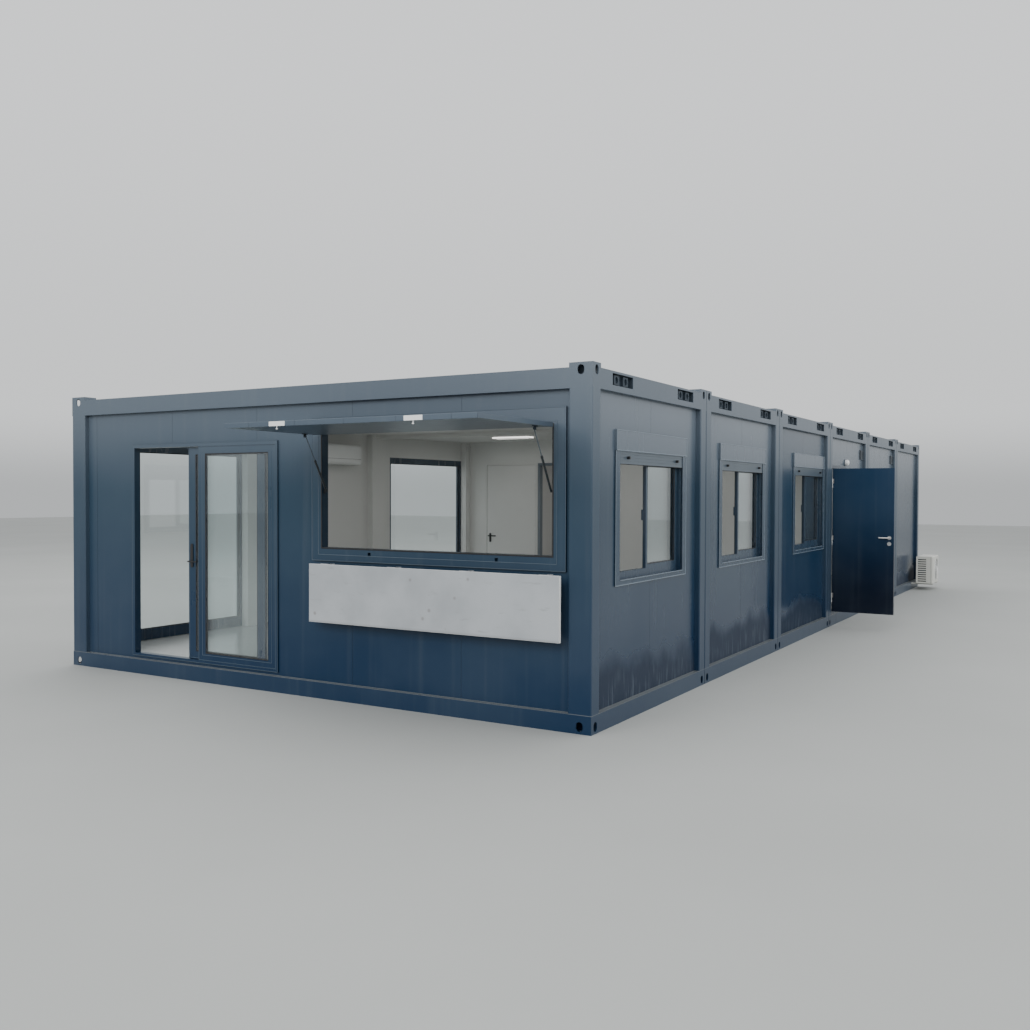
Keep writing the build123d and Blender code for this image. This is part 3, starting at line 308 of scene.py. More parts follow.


# %% [markdown]
# ## One recipe for every blue surface
#
# Walls, posts, frames and the flap are one paint, but they differ in wear and in the painted
# light, shade and reflection on them. So one function holds the whole recipe, and each surface
# says how much it has of every effect. A sandwich wall has its white room side in the same
# mesh: a plane through its middle parts the two colours.


# %% Blue paint
def blue_paint(
    name, roughness=0.25, gloss=0.35, seams=(), foot_darkening=0.0, lining=None, dark_reveal=None,
    top_sheen=1.0, end_light=0.0, left_sheen=0.0, deep=paint_deep, middle=paint_middle, sheen_colour=paint_fade_and_sheen,
):
    """Paint with painted sky reflection upward, optional seams, dark foot band and a white room side.

    seams lists (axis, start, step) of thin joints. lining is (axis, plane, way) of the room
    side. dark_reveal names the axis that the front faces look along: faces that look another
    way are the shaded reveals.
    """
    finish = Finish(name)
    height = finish.axis("Z")
    cloud = finish.noise(0.8, 4.0)
    fine_cloud = finish.noise(6.0, 3.0)
    runs = finish.noise(2.6, 4.0, stretch=(5.0, 5.0, 0.16)).rise(0.50, 0.80)
    # Painted reflection of the sky: paler towards the top, deep navy near the ground.
    colour = finish.mix(height.rise(*middle_heights), deep, middle)
    colour = finish.mix(height.rise(*sheen_heights) * top_sheen, colour, sheen_colour)
    # Painted reflection: the front is paler towards its left end.
    leftward = 1 - finish.axis("X").rise(-3.0, 1.6)
    colour = finish.mix(leftward * left_sheen, colour, paint_fade_and_sheen)
    colour = finish.mix(cloud.rise(0.35, 0.75) * 0.16, colour, paint_fade_and_sheen)
    colour = finish.mix(runs * 0.05, colour, dust)
    # Painted light: faces that look along X, the ends and the sides, are paler.
    colour = finish.mix(finish.facing("X") * end_light, colour, paint_fade_and_sheen)
    rough = cloud * 0.06 + runs * 0.05 + fine_cloud * 0.03 + roughness
    relief = finish.noise(55.0, 2.0) * 0.00035 + finish.noise(320.0, 1.0) * 0.00008
    if foot_darkening:
        colour, below = foot_band(finish, height, colour, foot_darkening)
        rough = rough + below * 0.42
    for axis, start, step in seams:
        groove = finish.axis(axis).repeat(start, step).line(0.0, 0.0028)
        colour = finish.mix(groove * 0.45, colour, paint_grime_and_shade)
        relief = relief - groove * 0.002
    colour = finish.mix(height.line(ledge_height, 0.003) * 0.55, colour, dust)
    # Painted shade: reveals, the faces that don't look along the front axis, are darkened.
    if dark_reveal:
        reveal = 1 - finish.facing(dark_reveal)
        colour = finish.mix(reveal * 0.50, colour, paint_grime_and_shade)
    if lining:
        room = finish.beyond(*lining)
        colour = finish.mix(room, colour, lining_white)
        rough = rough + room * 0.25
    return finish.surface(
        Base_Color=colour, Roughness=rough, Specular_IOR_Level=gloss, Normal=finish.bump(relief),
    )


# %% [markdown]
# ## Which surface has which paint
#
# The long sides are smoother and glossier, are painted paler as a painted reflection of the sky
# at their low angle, and carry the dark foot band. The wall of the third module is painted darker,
# a painted reflection of the open side door. Frames have painted shade in their reveals. The
# side door is a newer, deeper blue.

# %% Painted surfaces of this cabin
first_joint, panel_width = 1.2, 1.131
flap_joint, flap_panel = 0.6, 0.473
front_seams = [("X", right - first_joint, panel_width)]
side_seams = [("Y", module_middle(0), pitch)]
flap_seams = [("X", flap_joint, flap_panel)]
# Paler top of the long sides: painted sky reflection at their low angle.
pale_sheen_top = (0.130, 0.160, 0.195)
pale_middle = (0.021, 0.044, 0.071)
right_room = ("X", wall_outer - half_wall, -1)
left_room = ("X", half_wall - wall_outer, 1)
side_wall = dict(
    roughness=0.20, gloss=0.5, middle=pale_middle, sheen_colour=pale_sheen_top, seams=side_seams, foot_darkening=0.85,
)
steel_blue = blue_paint("steel_blue", roughness=0.27, end_light=0.22, left_sheen=0.12)
front_panel = blue_paint(
    "front_panel", gloss=0.26, seams=front_seams, lining=("Y", front_face + half_wall, 1),
    left_sheen=0.12,
)
back_panel = blue_paint("back_panel", seams=front_seams, lining=("Y", back_face - half_wall, -1))
right_panel = blue_paint("right_panel", lining=right_room, **side_wall)
left_panel = blue_paint("left_panel", lining=left_room, **side_wall)
# Painted reflection of the open side door: this wall is painted darker.
shaded_panel = blue_paint(
    "shaded_panel", roughness=0.18, gloss=0.24, top_sheen=0.9, seams=side_seams, foot_darkening=0.9,
    lining=right_room, middle=(0.006, 0.028, 0.056),
)
front_profile = blue_paint("front_profile", roughness=0.24, dark_reveal="Y")
side_profile = blue_paint(
    "side_profile", roughness=0.22, gloss=0.5, dark_reveal="X", top_sheen=1.2, end_light=0.12,
)
# Shutter boxes: strong painted light on their X faces and a paler painted top.
box_paint = blue_paint(
    "box_paint", roughness=0.22, gloss=0.5, end_light=0.62, top_sheen=1.5, sheen_colour=pale_sheen_top,
)
way_profile = blue_paint(
    "way_profile", roughness=0.30, deep=(0.20, 0.23, 0.26), middle=(0.22, 0.25, 0.28),
)
flap_paint = blue_paint("flap_paint", roughness=0.30, seams=flap_seams)
door_paint = blue_paint(
    "door_paint", roughness=0.24, gloss=0.18, top_sheen=0.05, deep=(0.001, 0.004, 0.014),
    middle=(0.005, 0.029, 0.070),
)
print("materials so far", len(bpy.data.materials))

# %% [markdown]
# ## Rubber, plastic and bare metal
#
# Small parts have even coats. One function gives them fine grain in the bump, mottling in the
# colour and a little change of gloss, because even a new rubber strip is not one flat value.


# %% Plain coats
def coated(name, colour, roughness, grain=420.0, metallic=0.0, mottle=0.25, depth=0.0002):
    """Even coat: fine grain in the bump, faint mottling in colour and gloss."""
    finish = Finish(name)
    cloud = finish.noise(2.2, 4.0)
    fine = finish.noise(grain, 2.0)
    worn = tuple(min(1.0, part * 1.35 + 0.01) for part in colour)
    shade = finish.mix(cloud.rise(0.3, 0.8) * mottle, colour, worn)
    return finish.surface(
        Base_Color=shade, Roughness=cloud * 0.08 + roughness, Metallic=metallic,
        Normal=finish.bump(fine * depth),
    )


black_plastic = coated("black_plastic", (0.006, 0.006, 0.007), 0.38)
strut_black = coated("strut_black", (0.010, 0.014, 0.019), 0.28)
rod_grey = coated("rod_grey", (0.060, 0.082, 0.104), 0.25)
rubber = coated("rubber", (0.008, 0.008, 0.009), 0.62)
white_lining = coated("white_lining", lining_white, 0.50, grain=150.0, mottle=0.10)
white_plastic = coated("white_plastic", (0.74, 0.75, 0.74), 0.32, mottle=0.10)
# Paler blue for raised edge lines: a painted highlight.
edge_highlight_paint = coated("edge_highlight_paint", (0.055, 0.082, 0.112), 0.26, mottle=0.3)
# Paler coat for thin edges: a painted highlight.
highlight_edge = coated("highlight_edge", (0.15, 0.19, 0.23), 0.28, mottle=0.3)
zinc = coated("zinc", (0.46, 0.47, 0.49), 0.38, metallic=0.9)
stainless = coated("stainless", (0.58, 0.57, 0.55), 0.24, metallic=1.0)
grey_sheet = coated("grey_sheet", (0.10, 0.12, 0.14), 0.42, mottle=0.4)
socket_grey = coated("socket_grey", (0.020, 0.034, 0.050), 0.62)
print("materials so far", len(bpy.data.materials))

# %% [markdown]
# ## Parts with two finishes
#
# Some nodes carry two finishes: a vent is slate grey outside, with painted shade near black in
# its slots, and the flap's fittings are dark arms with white latch plates. A plane in Object
# coordinates parts the two, so the CAD mesh stays as it is.


# %% Two finishes in one node
def parted(name, first, second, mask, roughness=0.4, metallic=0.0):
    """Coat of two colours. mask, a plane or a function of the finish, gives 1 for the second."""
    finish = Finish(name)
    part = mask(finish) if callable(mask) else finish.beyond(*mask)
    cloud = finish.noise(2.5, 4.0).rise(0.3, 0.8)
    shade = finish.mix(part, first, second)
    shade = finish.mix(cloud * 0.12, shade, tuple(0.5 * c + 0.05 for c in first))
    return finish.surface(
        Base_Color=shade, Roughness=cloud * 0.10 + roughness, Metallic=metallic,
        Normal=finish.bump(finish.noise(260.0, 2.0) * 0.0002),
    )


latches = ("Y", -1.055, -1)
shutter_stops = ("X", 2.983, 1, 0.0005)
hinge_leaves = ("X", 2.9935, 1, 0.0003)
# Painted shade: the backs of the vent slots are near black.
vent_slot_shade = ("X", wall_outer + 0.0105, -1, 0.0015)
latch_metal = parted("latch_metal", (0.012, 0.020, 0.030), (0.80, 0.81, 0.80), latches, 0.34)
curtain_paint = parted(
    "curtain_paint", (0.070, 0.095, 0.120), (0.006, 0.006, 0.007), shutter_stops, 0.30,
)
door_frame_paint = parted(
    "door_frame_paint", (0.010, 0.026, 0.048), (0.55, 0.55, 0.54), hinge_leaves, 0.26,
)
vent_paint = parted("vent_paint", (0.045, 0.062, 0.080), (0.004, 0.005, 0.006), vent_slot_shade)

# %% [markdown]
# ## Dark places of the outdoor unit
#
# The louvres in the unit's near face are slots, and the fan stands in a round well. The backs of
# both get painted shade, near black. Three ranges multiplied give the backs of the slots, and a
# thin plane gives the bottom of the well.

# %% Slots and well
unit_low, unit_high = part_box("outdoor_unit")
unit_back = right + 0.100
slot_depth, well_depth = 0.006, 0.030
slot_xs = (unit_back + 0.031, unit_back + 0.179)
slot_zs = (unit_low[2] + 0.035, unit_high[2] - 0.022)


def unit_slot_shade(finish):
    """Painted shade: backs of the louvre slots in the near face and the well behind the fan guard."""
    slot_y = finish.axis("Y").line(unit_low[1] + slot_depth, 0.002)
    slot_x = finish.axis("X").within(*slot_xs)
    slot_z = finish.axis("Z").within(*slot_zs)
    well = finish.axis("X").line(unit_high[0] - well_depth, 0.002)
    return (slot_y * slot_x * slot_z).math("MAXIMUM", well)


unit_coat = parted("unit_coat", (0.62, 0.62, 0.57), (0.010, 0.011, 0.012), unit_slot_shade)

# %% [markdown]
# ## The roof sheets
#
# A roof panel is grey sheet outside and white ceiling inside. Water stands on the flat pans and
# dries to clouds of dust, and it runs along the ribs to the eaves. So the clouds are round and
# the runs are noise stretched along Y.

# %% Roof
ceiling_board = 0.005


def roof_finish():
    """Grey sheet above, white ceiling below: dust in the flat pans, runs towards the eaves."""
    finish = Finish("roof_skin")
    ceiling_side = finish.beyond("Z", ceiling + ceiling_board, -1)
    cloud = finish.noise(0.9, 5.0).rise(0.35, 0.70)
    run = finish.noise(1.8, 4.0, stretch=(4.0, 0.35, 1.0)).rise(0.52, 0.78)
    speck = 1 - finish.cells(9.0).rise(0.03, 0.08)
    sheet = finish.mix(cloud * 0.45, (0.33, 0.35, 0.37), (0.22, 0.235, 0.245))
    sheet = finish.mix(run * 0.40, sheet, (0.16, 0.17, 0.165))
    sheet = finish.mix(speck * 0.35, sheet, (0.12, 0.12, 0.11))
    return finish.surface(
        Base_Color=finish.mix(ceiling_side, sheet, lining_white), Roughness=cloud * 0.18 + 0.34,
        Normal=finish.bump(finish.noise(180.0, 2.0) * 0.0002),
    )


roof_skin = roof_finish()

# %% [markdown]
# ## The counter board
#
# The counter is a white coated board. It has been leaned on and rained on, so it carries grey
# clouds, short scuffs and a few round spots. They come from noise and from scattered cells.

# %% Counter board
rim_heights = (0.692, 0.715)


def counter_finish():
    """White board: large grey clouds, short scuffs along X, small round spots."""
    finish = Finish("counter_white")
    cloud = finish.noise(2.4, 5.0).rise(0.35, 0.72)
    scuff = finish.noise(14.0, 4.0, stretch=(0.5, 1.0, 2.0)).rise(0.62, 0.78)
    spot = 1 - finish.cells(6.0).rise(0.05, 0.13)
    rim = 1 - finish.axis("Z").rise(*rim_heights)
    colour = finish.mix(cloud * 0.60, (0.395, 0.415, 0.435), (0.27, 0.29, 0.31))
    colour = finish.mix(scuff * 0.45, colour, (0.24, 0.25, 0.26))
    colour = finish.mix(spot * 0.60, colour, (0.20, 0.19, 0.18))
    colour = finish.mix(rim * 0.35, colour, (0.20, 0.21, 0.22))
    return finish.surface(
        Base_Color=colour, Roughness=cloud * 0.15 + 0.36,
        Normal=finish.bump(finish.noise(90.0, 3.0) * 0.0003),
    )


counter_white = counter_finish()

# %% [markdown]
# ## The floor covering
#
# The floor is grey vinyl. Its fine speckle hides dirt, and wear only changes its gloss, so the
# wide patches go to the roughness and not to the colour.


# %% Vinyl
def vinyl_finish():
    """Grey vinyl: speckle from fine noise, wide patches of wear."""
    finish = Finish("floor_vinyl")
    speckle = finish.noise(160.0, 2.0).rise(0.4, 0.7)
    wear = finish.noise(1.3, 4.0)
    colour = finish.mix(speckle * 0.5, (0.36, 0.37, 0.36), (0.48, 0.49, 0.48))
    return finish.surface(
        Base_Color=colour, Roughness=wear * 0.2 + 0.10, Normal=finish.bump(speckle * 0.0001),
    )


floor_vinyl = vinyl_finish()

# %% [markdown]
# ## Glass
#
# A pane lets most light straight through and mirrors more at a low angle. Schlick's rule gives
# that share from the angle alone: with c = 1 - cos(angle), F = 0.043 + 0.957 c^5. Both faces of
# a thin pane mirror, which makes 2F / (1 + F). Blender's own Fresnel node turns to a full mirror
# where a ray leaves a solid, so it would blind a pane that has two faces.


# %% Glass
def glass_finish():
    """Thin pane: clear and mirror shaders mixed by Schlick's share, with faint smears."""
    finish = Finish("glass")
    weight = finish.node("ShaderNodeLayerWeight", inputs={"Blend": 0.5})
    away = Value(finish, weight.outputs["Facing"])
    one_face = (away ** 5) * 0.957 + 0.043
    share = one_face * 2 / (one_face + 1)
    smear = finish.noise(3.0, 4.0).rise(0.4, 0.8)
    clear = finish.node("ShaderNodeBsdfTransparent", inputs={"Color": (0.93, 0.96, 0.96)})
    mirror = finish.node("ShaderNodeBsdfPrincipled", inputs={
        "Base Color": (0.94, 0.96, 0.98), "Metallic": 1.0, "Roughness": smear * 0.02 + 0.01,
    })
    inputs = [share + smear * 0.012, clear.outputs[0], mirror.outputs[0]]
    return finish.close(finish.node("ShaderNodeMixShader", inputs=inputs))


glass = glass_finish()

# %% [markdown]
# ## Lamps
#
# The lamps' opal covers glow a little by day. A small emission shows that; the light that they
# give to the room comes from soft panels further below, which are cleaner than a glowing mesh.


# %% Lamp covers
def lamp_finish():
    """Opal diffuser that glows a little, with fine prisms."""
    finish = Finish("lamp_opal")
    prism = finish.noise(240.0, 1.0)
    return finish.surface(
        Base_Color=finish.mix(prism * 0.2, (0.9, 0.9, 0.88), (0.8, 0.8, 0.78)), Roughness=0.4,
        Emission_Color=(1.0, 0.98, 0.94), Emission_Strength=1.6, Normal=finish.bump(prism * 0.0002),
    )


lamp_opal = lamp_finish()
print("materials so far", len(bpy.data.materials))

# %% [markdown]
# ## Dressing the steelwork
#
# Each CAD node keeps its mesh and only gets a material. One table says which.

# %% Materials for the nodes
finishes = {
    steel_blue: ["floor_beams", "floor_castings", "posts", "roof_beams", "roof_castings"],
    front_panel: ["front_wall_left", "front_wall_over_door", "front_wall_hatch"],
    back_panel: ["back_wall"],
    right_panel: [
        "right_wall_1", "right_wall_2", "door_wall_sides", "door_wall_over", "right_walls_plain",
    ],
    shaded_panel: ["right_wall_3"],
    left_panel: ["left_walls_glazed", "left_walls_plain"],
    front_profile: ["hatch_frame", "patio_frame", "patio_fixed_leaf", "sliding_leaf"],
    side_profile: ["window_frames", "window_sashes", "left_glazing_frames"],
    box_paint: ["shutter_boxes"],
    way_profile: ["inner_way_frame"],
    flap_paint: ["hatch_flap"],
    latch_metal: ["flap_fittings"],
    curtain_paint: ["shutter_curtains"],
    door_paint: ["side_door_leaf"],
    door_frame_paint: ["side_door_frame"],
    vent_paint: ["vent_grilles"],
    unit_coat: ["outdoor_unit"],
    glass: ["fixed_panes", "sliding_glass"],
    roof_skin: ["roof_panels"],
    grey_sheet: ["floor_pans", "joint_covers"],
    socket_grey: ["socket_plates"],
    floor_vinyl: ["floor_boards"],
    white_lining: [
        "ceiling_strips", "corner_linings", "partition_sides", "partition_over_doors",
        "inner_door_frame", "inner_door_leaf",
    ],
    white_plastic: ["indoor_cooler", "bulkhead_lamp", "inner_door_hinges"],
    counter_white: ["counter_board"],
    zinc: ["counter_brackets", "counter_hinges"],
    strut_black: ["strut_tubes", "strut_feet"],
    rod_grey: ["strut_rods"],
    black_plastic: ["sliding_pulls", "inner_door_levers"],
    stainless: ["side_door_levers", "side_door_hinges"],
    lamp_opal: ["ceiling_lamps"],
}
dressed = set()
for material, names in finishes.items():
    for name in names:
        nodes[name].data.materials.clear()
        nodes[name].data.materials.append(material)
        dressed.add(name)
print("undressed nodes", sorted(set(nodes) - dressed))

# %% [markdown]
# ## Shapes from arrays
#
# Beads, rims, screws and fan blades are too fine for the steelwork model, so they are made
# here. Each is a grid of points worked out in one go with numpy: rows follow the piece, columns
# go round its section. `grid_quads` joins neighbours to faces, and one function turns any list
# of such grids into a piece that rides on a body.


# %% Grids and pieces
def grid_quads(rows, columns, close_rows=False):
    """Faces of a grid whose columns close round; the rows may close too."""
    index = np.arange(rows * columns).reshape(rows, columns)
    index = np.concatenate([index, index[:, :1]], axis=1)
    if close_rows:
        index = np.concatenate([index, index[:1]], axis=0)
    corners = [index[:-1, :-1], index[1:, :-1], index[1:, 1:], index[:-1, 1:]]
    return np.stack(corners, axis=-1).reshape(-1, 4)


def shape(points, close_rows=False):
    """Pair of points and faces from an array of rows x columns x 3."""
    rows, columns = points.shape[:2]
    return points.reshape(-1, 3), grid_quads(rows, columns, close_rows)


def at_places(one, places):
    """Copies of one shape, moved to each place: the points plus the place."""
    points, quads = one
    places = np.asarray(places, dtype=float)
    moved = points[None, :, :] + places[:, None, :]
    shifted = quads[None, :, :] + (np.arange(len(places)) * len(points))[:, None, None]
    return moved.reshape(-1, 3), shifted.reshape(-1, 4)


def make_piece(name, shapes, material, body):
    """One mesh from many shapes, with poles merged and faces turned outwards.

    A strongly curved strip can come out inside out, which its signed volume tells.
    """
    counts = np.cumsum([0] + [len(points) for points, _ in shapes])
    points = np.concatenate([points for points, _ in shapes])
    quads = np.concatenate([quads + start for (_, quads), start in zip(shapes, counts)])
    mesh = bpy.data.meshes.new(name)
    mesh.from_pydata(points.tolist(), [], quads.tolist())
    work = bmesh.new()
    work.from_mesh(mesh)
    bmesh.ops.remove_doubles(work, verts=work.verts, dist=1e-6)
    bmesh.ops.recalc_face_normals(work, faces=work.faces)
    if work.calc_volume(signed=True) < 0:
        bmesh.ops.reverse_faces(work, faces=work.faces)
    work.to_mesh(mesh)
    work.free()
    mesh.shade_smooth()
    mesh.set_sharp_from_angle(angle=math.radians(35))
    mesh.materials.append(material)
    piece = bpy.data.objects.new(name, mesh)
    bpy.context.scene.collection.objects.link(piece)
    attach(piece, body)
    print("piece", name, "on", body, "faces", len(mesh.polygons))
    return piece


# %% [markdown]
# ## Straight bars
#
# Strips, lips and seals are straight bars. A perfectly sharp edge never catches light, so each
# bar has its edges cut by a millimetre. That makes its section an octagon.


# %% Bars
def bar(low, high, axis, edge=0.001):
    """Straight bar between two corners with cut edges.

    Its section is a rectangle whose corners are cut by edge, an octagon. The end rings shrink
    by edge and then to the middle, which closes the ends.
    """
    low, high = np.minimum(low, high), np.maximum(low, high)
    middle, half = (low + high) / 2, (high - low) / 2
    first, second = [k for k in range(3) if k != axis]
    edge = min(edge, *(0.45 * half))
    sign_a, cut_a = np.array([1, 1, -1, -1, -1, -1, 1, 1]), np.array([0, 1, 1, 0, 0, 1, 1, 0])
    sign_b, cut_b = np.array([1, 1, 1, 1, -1, -1, -1, -1]), np.array([1, 0, 0, 1, 1, 0, 0, 1])
    reach = half[axis]
    along = np.array([-reach, -reach, edge - reach, reach - edge, reach, reach])
    shrink = np.array([np.inf, edge, 0, 0, edge, np.inf])[:, None]
    points = np.zeros((6, 8, 3))
    points[:, :, axis] = along[:, None]
    points[:, :, first] = np.maximum(half[first] - shrink - edge * cut_a, 0) * sign_a
    points[:, :, second] = np.maximum(half[second] - shrink - edge * cut_b, 0) * sign_b
    return shape(points + middle)


# %% [markdown]
# ## Mitred frames
#
# A bead or an edge line goes round a rectangle, and in its corners the two strips meet at 45
# degrees. If the section moves inward along both sides at once, the mitre comes by itself.


# %% Mitred frames
def mitred(low, high, axis, plane, section):
    """Frame round a rectangle, cut at 45 degrees in its corners.

    low and high are opposite corners, and plane is the frame's place along axis. Each section
    point is (inward, forward): the corner moves inward along both sides and forward along the
    axis from the plane.
    """
    low, high = np.asarray(low, float), np.asarray(high, float)
    section = np.asarray(section, float)
    first, second = [k for k in range(3) if k != axis]
    at_high_a = np.array([0, 1, 1, 0])[:, None]
    at_high_b = np.array([0, 0, 1, 1])[:, None]
    inward, ahead = section[None, :, 0], section[None, :, 1]
    points = np.zeros((4, len(section), 3))
    points[:, :, first] = np.where(at_high_a, high[first] - inward, low[first] + inward)
    points[:, :, second] = np.where(at_high_b, high[second] - inward, low[second] + inward)
    points[:, :, axis] = plane + ahead
    return shape(points, close_rows=True)


# %% [markdown]
# ## Turned pieces
#
# Screw heads, glands and lamp plates are turned on a lathe. So they are a profile carried round
# an axis, which here may point any way.


# %% Turned pieces
def turned(profile, place, direction, count=16):
    """Round piece: each (radius, along) of the profile is a ring about the direction.

    A ring point is place + along * direction + radius * (cos t * side + sin t * other), with t
    from 0 to a full turn. A radius of 0 gives a closed pole.
    """
    direction = np.asarray(direction, float)
    direction = direction / np.linalg.norm(direction)
    helper = np.array([0.0, 0.0, 1.0]) if abs(direction[2]) < 0.9 else np.array([1.0, 0.0, 0.0])
    across = np.cross(direction, helper)
    across /= np.linalg.norm(across)
    other = np.cross(direction, across)
    angle = np.linspace(0, 2 * np.pi, count, endpoint=False)
    circle = np.cos(angle)[:, None] * across + np.sin(angle)[:, None] * other
    radius, along = np.asarray(profile, float).T
    points = radius[:, None, None] * circle[None] + along[:, None, None] * direction
    return shape(points + np.asarray(place, float))


def screw_head(direction, radius=0.005, rise=0.0022, count=8):
    """Low round head with a small dimple, standing on the origin."""
    profile = [
        (0, -0.001), (radius, -0.001), (radius, rise * 0.5), (radius * 0.7, rise),
        (radius * 0.35, rise), (radius * 0.3, rise * 0.4), (0, rise * 0.4),
    ]
    return turned(profile, (0, 0, 0), direction, count)


# %% [markdown]
# ## Rubber beads round the glass
#
# Every pane is held by a black rubber bead on both faces. It is only 6 to 8 mm wide, but it
# draws the dark line that makes glass look set in and not painted on. Each bead is a mitred
# frame with a small rounded section.

# %% Side windows
window_starts = (0.467, 2.910, 5.614)
window_width = 1.525
window_rim = 0.085
window_step = 0.020
sash_stile = 0.032
sash_overlap = 0.060
sash_width = (window_width - 2 * window_rim - 2 * window_step + sash_overlap) / 2
sash_depth = 0.020
sash_glass = 0.014
sash_gap = 0.002
pane_set = (sash_depth - sash_glass) / 2
sash_low, sash_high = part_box("window_sashes")
sash_z = (sash_low[2] + sash_stile, sash_high[2] - sash_stile)


def bead_section(width, rise, way):
    """Section of a bead: from just inside the glass, over a rounded back, to the frame."""
    return [
        (-0.0005, -0.0005 * way), (width, -0.0005 * way), (width, rise * 0.5 * way),
        (width * 0.6, rise * way), (width * 0.15, rise * way), (-0.0005, rise * 0.8 * way),
    ]


beads = []
for start in window_starts:
    far = start + window_width - window_rim - window_step
    near = far - sash_width
    hidden = near + sash_overlap - sash_stile
    faces = (sash_high[0], sash_high[0] - sash_depth - sash_gap)
    for sash_start, face in zip((near, hidden), faces):
        pane_low, pane_high = (0, sash_start + sash_stile, sash_z[0]), (0, far - sash_stile, sash_z[1])
        for plane, way in ((face - pane_set, 1), (face - sash_depth + pane_set, -1)):
            beads.append(mitred(pane_low, pane_high, X, plane, bead_section(0.006, 0.0035, way)))
print("window beads", len(beads))

# %% [markdown]
# ## Beads of the tall panes
#
# The sliding door's two leaves and the tall fixed panes in the far wall have wider beads. The
# bead of the sliding leaf is a piece of its own, because it rides with that leaf.

# %% Glazed doors and full-height panes
leaf_stile = 0.095
leaf_rail = 0.070
leaf_glass = 0.020
leaf_bottoms = {"patio_fixed_leaf": 0.270, "sliding_leaf": 0.275}
glazing_rim, glazing_bottom, glazing_head = 0.025, 0.137, 0.084
glazing_width = 1.916


def pane_beads(low, high, axis, rise):
    """Beads on both faces of a pane whose middle lies at low[axis]."""
    return [
        mitred(low, high, axis, low[axis] + way * leaf_glass / 2, bead_section(0.008, rise, way))
        for way in (-1, 1)
    ]


def door_beads(node):
    """Beads of the pane in a glazed leaf, inside its stiles and rails."""
    low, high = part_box(node)
    middle = (low[1] + high[1]) / 2
    near = (low[0] + leaf_stile, middle, leaf_bottoms[node])
    far = (high[0] - leaf_stile, middle, high[2] - leaf_rail)
    return pane_beads(near, far, Y, 0.0045)


beads += door_beads("patio_fixed_leaf")
glazing_low, glazing_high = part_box("left_glazing_frames")
glazing_middle = (glazing_low[0] + glazing_high[0]) / 2
for start in (glazing_low[1], glazing_high[1] - glazing_width):
    near = (glazing_middle, start + glazing_rim, glazing_low[2] + glazing_bottom)
    far = (glazing_middle, start + glazing_width - glazing_rim, glazing_high[2] - glazing_head)
    beads += pane_beads(near, far, X, 0.006)
make_piece("pane_beads", beads, rubber, "cabin")
make_piece("sliding_pane_beads", door_beads("sliding_leaf"), rubber, "sliding_leaf")

# %% [markdown]
# ## Edges of the windows
#
# Each shutter box ends in a folded lip, and each sill has a drip edge. Both are painted paler
# than the walls, a painted highlight for the thin bright line that they catch. The curtain ends
# in a rubber strip, which keeps it quiet in the wind.

# %% Lips, drip edges and curtain strips
box_low, box_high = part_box("shutter_boxes")
frame_low, frame_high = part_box("window_frames")
curtain_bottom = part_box("shutter_curtains")[0][2]
curtain_face = 2.982
sill_drip = frame_low[2] + 0.038
fold = [(0.0, -0.001), (0.0, 0.0022), (0.005, 0.0022), (0.006, -0.001)]
lips, strips = [], []
for start in window_starts:
    end = start + window_width
    opening = (start + window_rim, end - window_rim)
    lips += [
        bar((box_high[0] - 0.004, start, box_low[2] - 0.001),
            (box_high[0] + 0.003, end, box_low[2] + 0.006), Y),
        bar((frame_high[0] - 0.006, opening[0], sill_drip),
            (frame_high[0] + 0.007, opening[1], sill_drip + 0.006), Y),
        bar((frame_high[0] - 0.002, start, frame_low[2] - 0.002),
            (frame_high[0] + 0.003, end, frame_low[2] + 0.003), Y),
        mitred((0, start, box_low[2]), (0, end, box_high[2]), X, box_high[0], fold),
        mitred((0, start, frame_low[2]), (0, end, frame_high[2]), X, frame_high[0], fold),
    ]
    strips.append(bar((curtain_face - 0.010, opening[0] + 0.004, curtain_bottom - 0.005),
                      (curtain_face - 0.002, opening[1] - 0.004, curtain_bottom + 0.001), Y, 0.002))
make_piece("window_edges", lips, highlight_edge, "cabin")
make_piece("curtain_strips", strips, rubber, "cabin")

# %% [markdown]
# ## Serving hatch
#
# A hollow rubber seal runs round the opening, where the flap presses when it is shut. The frame
# is screwed to the wall through its reveal, and its profile has two raised edges. The flap has
# an edge strip on the free side.

# %% Hatch seal and screws
hatch_low, hatch_high = np.array(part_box("hatch_frame"))
hatch_face = 0.0
opening_low, opening_high = hatch_low + (0.118, 0, 0.118), hatch_high - (0.118, 0, 0.136)
seal_section = [
    (0.0, 0.001), (0.0, -0.003), (-0.003, -0.004), (-0.009, -0.004), (-0.012, -0.002), (-0.012, 0.001),
]
seal = mitred(opening_low, opening_high, Y, hatch_face, seal_section)
make_piece("hatch_seal", [seal], rubber, "cabin")

screw_inset, screw_depth = 0.12, 0.050
sill_xs = np.linspace(opening_low[0] + screw_inset, opening_high[0] - screw_inset, 6)
jamb_zs = np.linspace(opening_low[2] + screw_inset, opening_high[2] - screw_inset, 4)
sill_places = [(x, screw_depth, opening_low[2]) for x in sill_xs]
jamb_places = [(opening_low[0], screw_depth, z) for z in jamb_zs]
sill_screws = at_places(screw_head((0, 0, 1), 0.006), sill_places)
jamb_screws = at_places(screw_head((1, 0, 0), 0.006), jamb_places)
make_piece("hatch_screws", [sill_screws, jamb_screws], strut_black, "cabin")

# %% [markdown]
# ## Raised edges of the hatch
#
# The frame's outer edge and the step of its profile are two mitred lines, 2.5 mm proud, painted
# paler than the frame as a painted highlight. They stay clear of the shut flap. The strip on the
# flap's free edge rides with the flap.

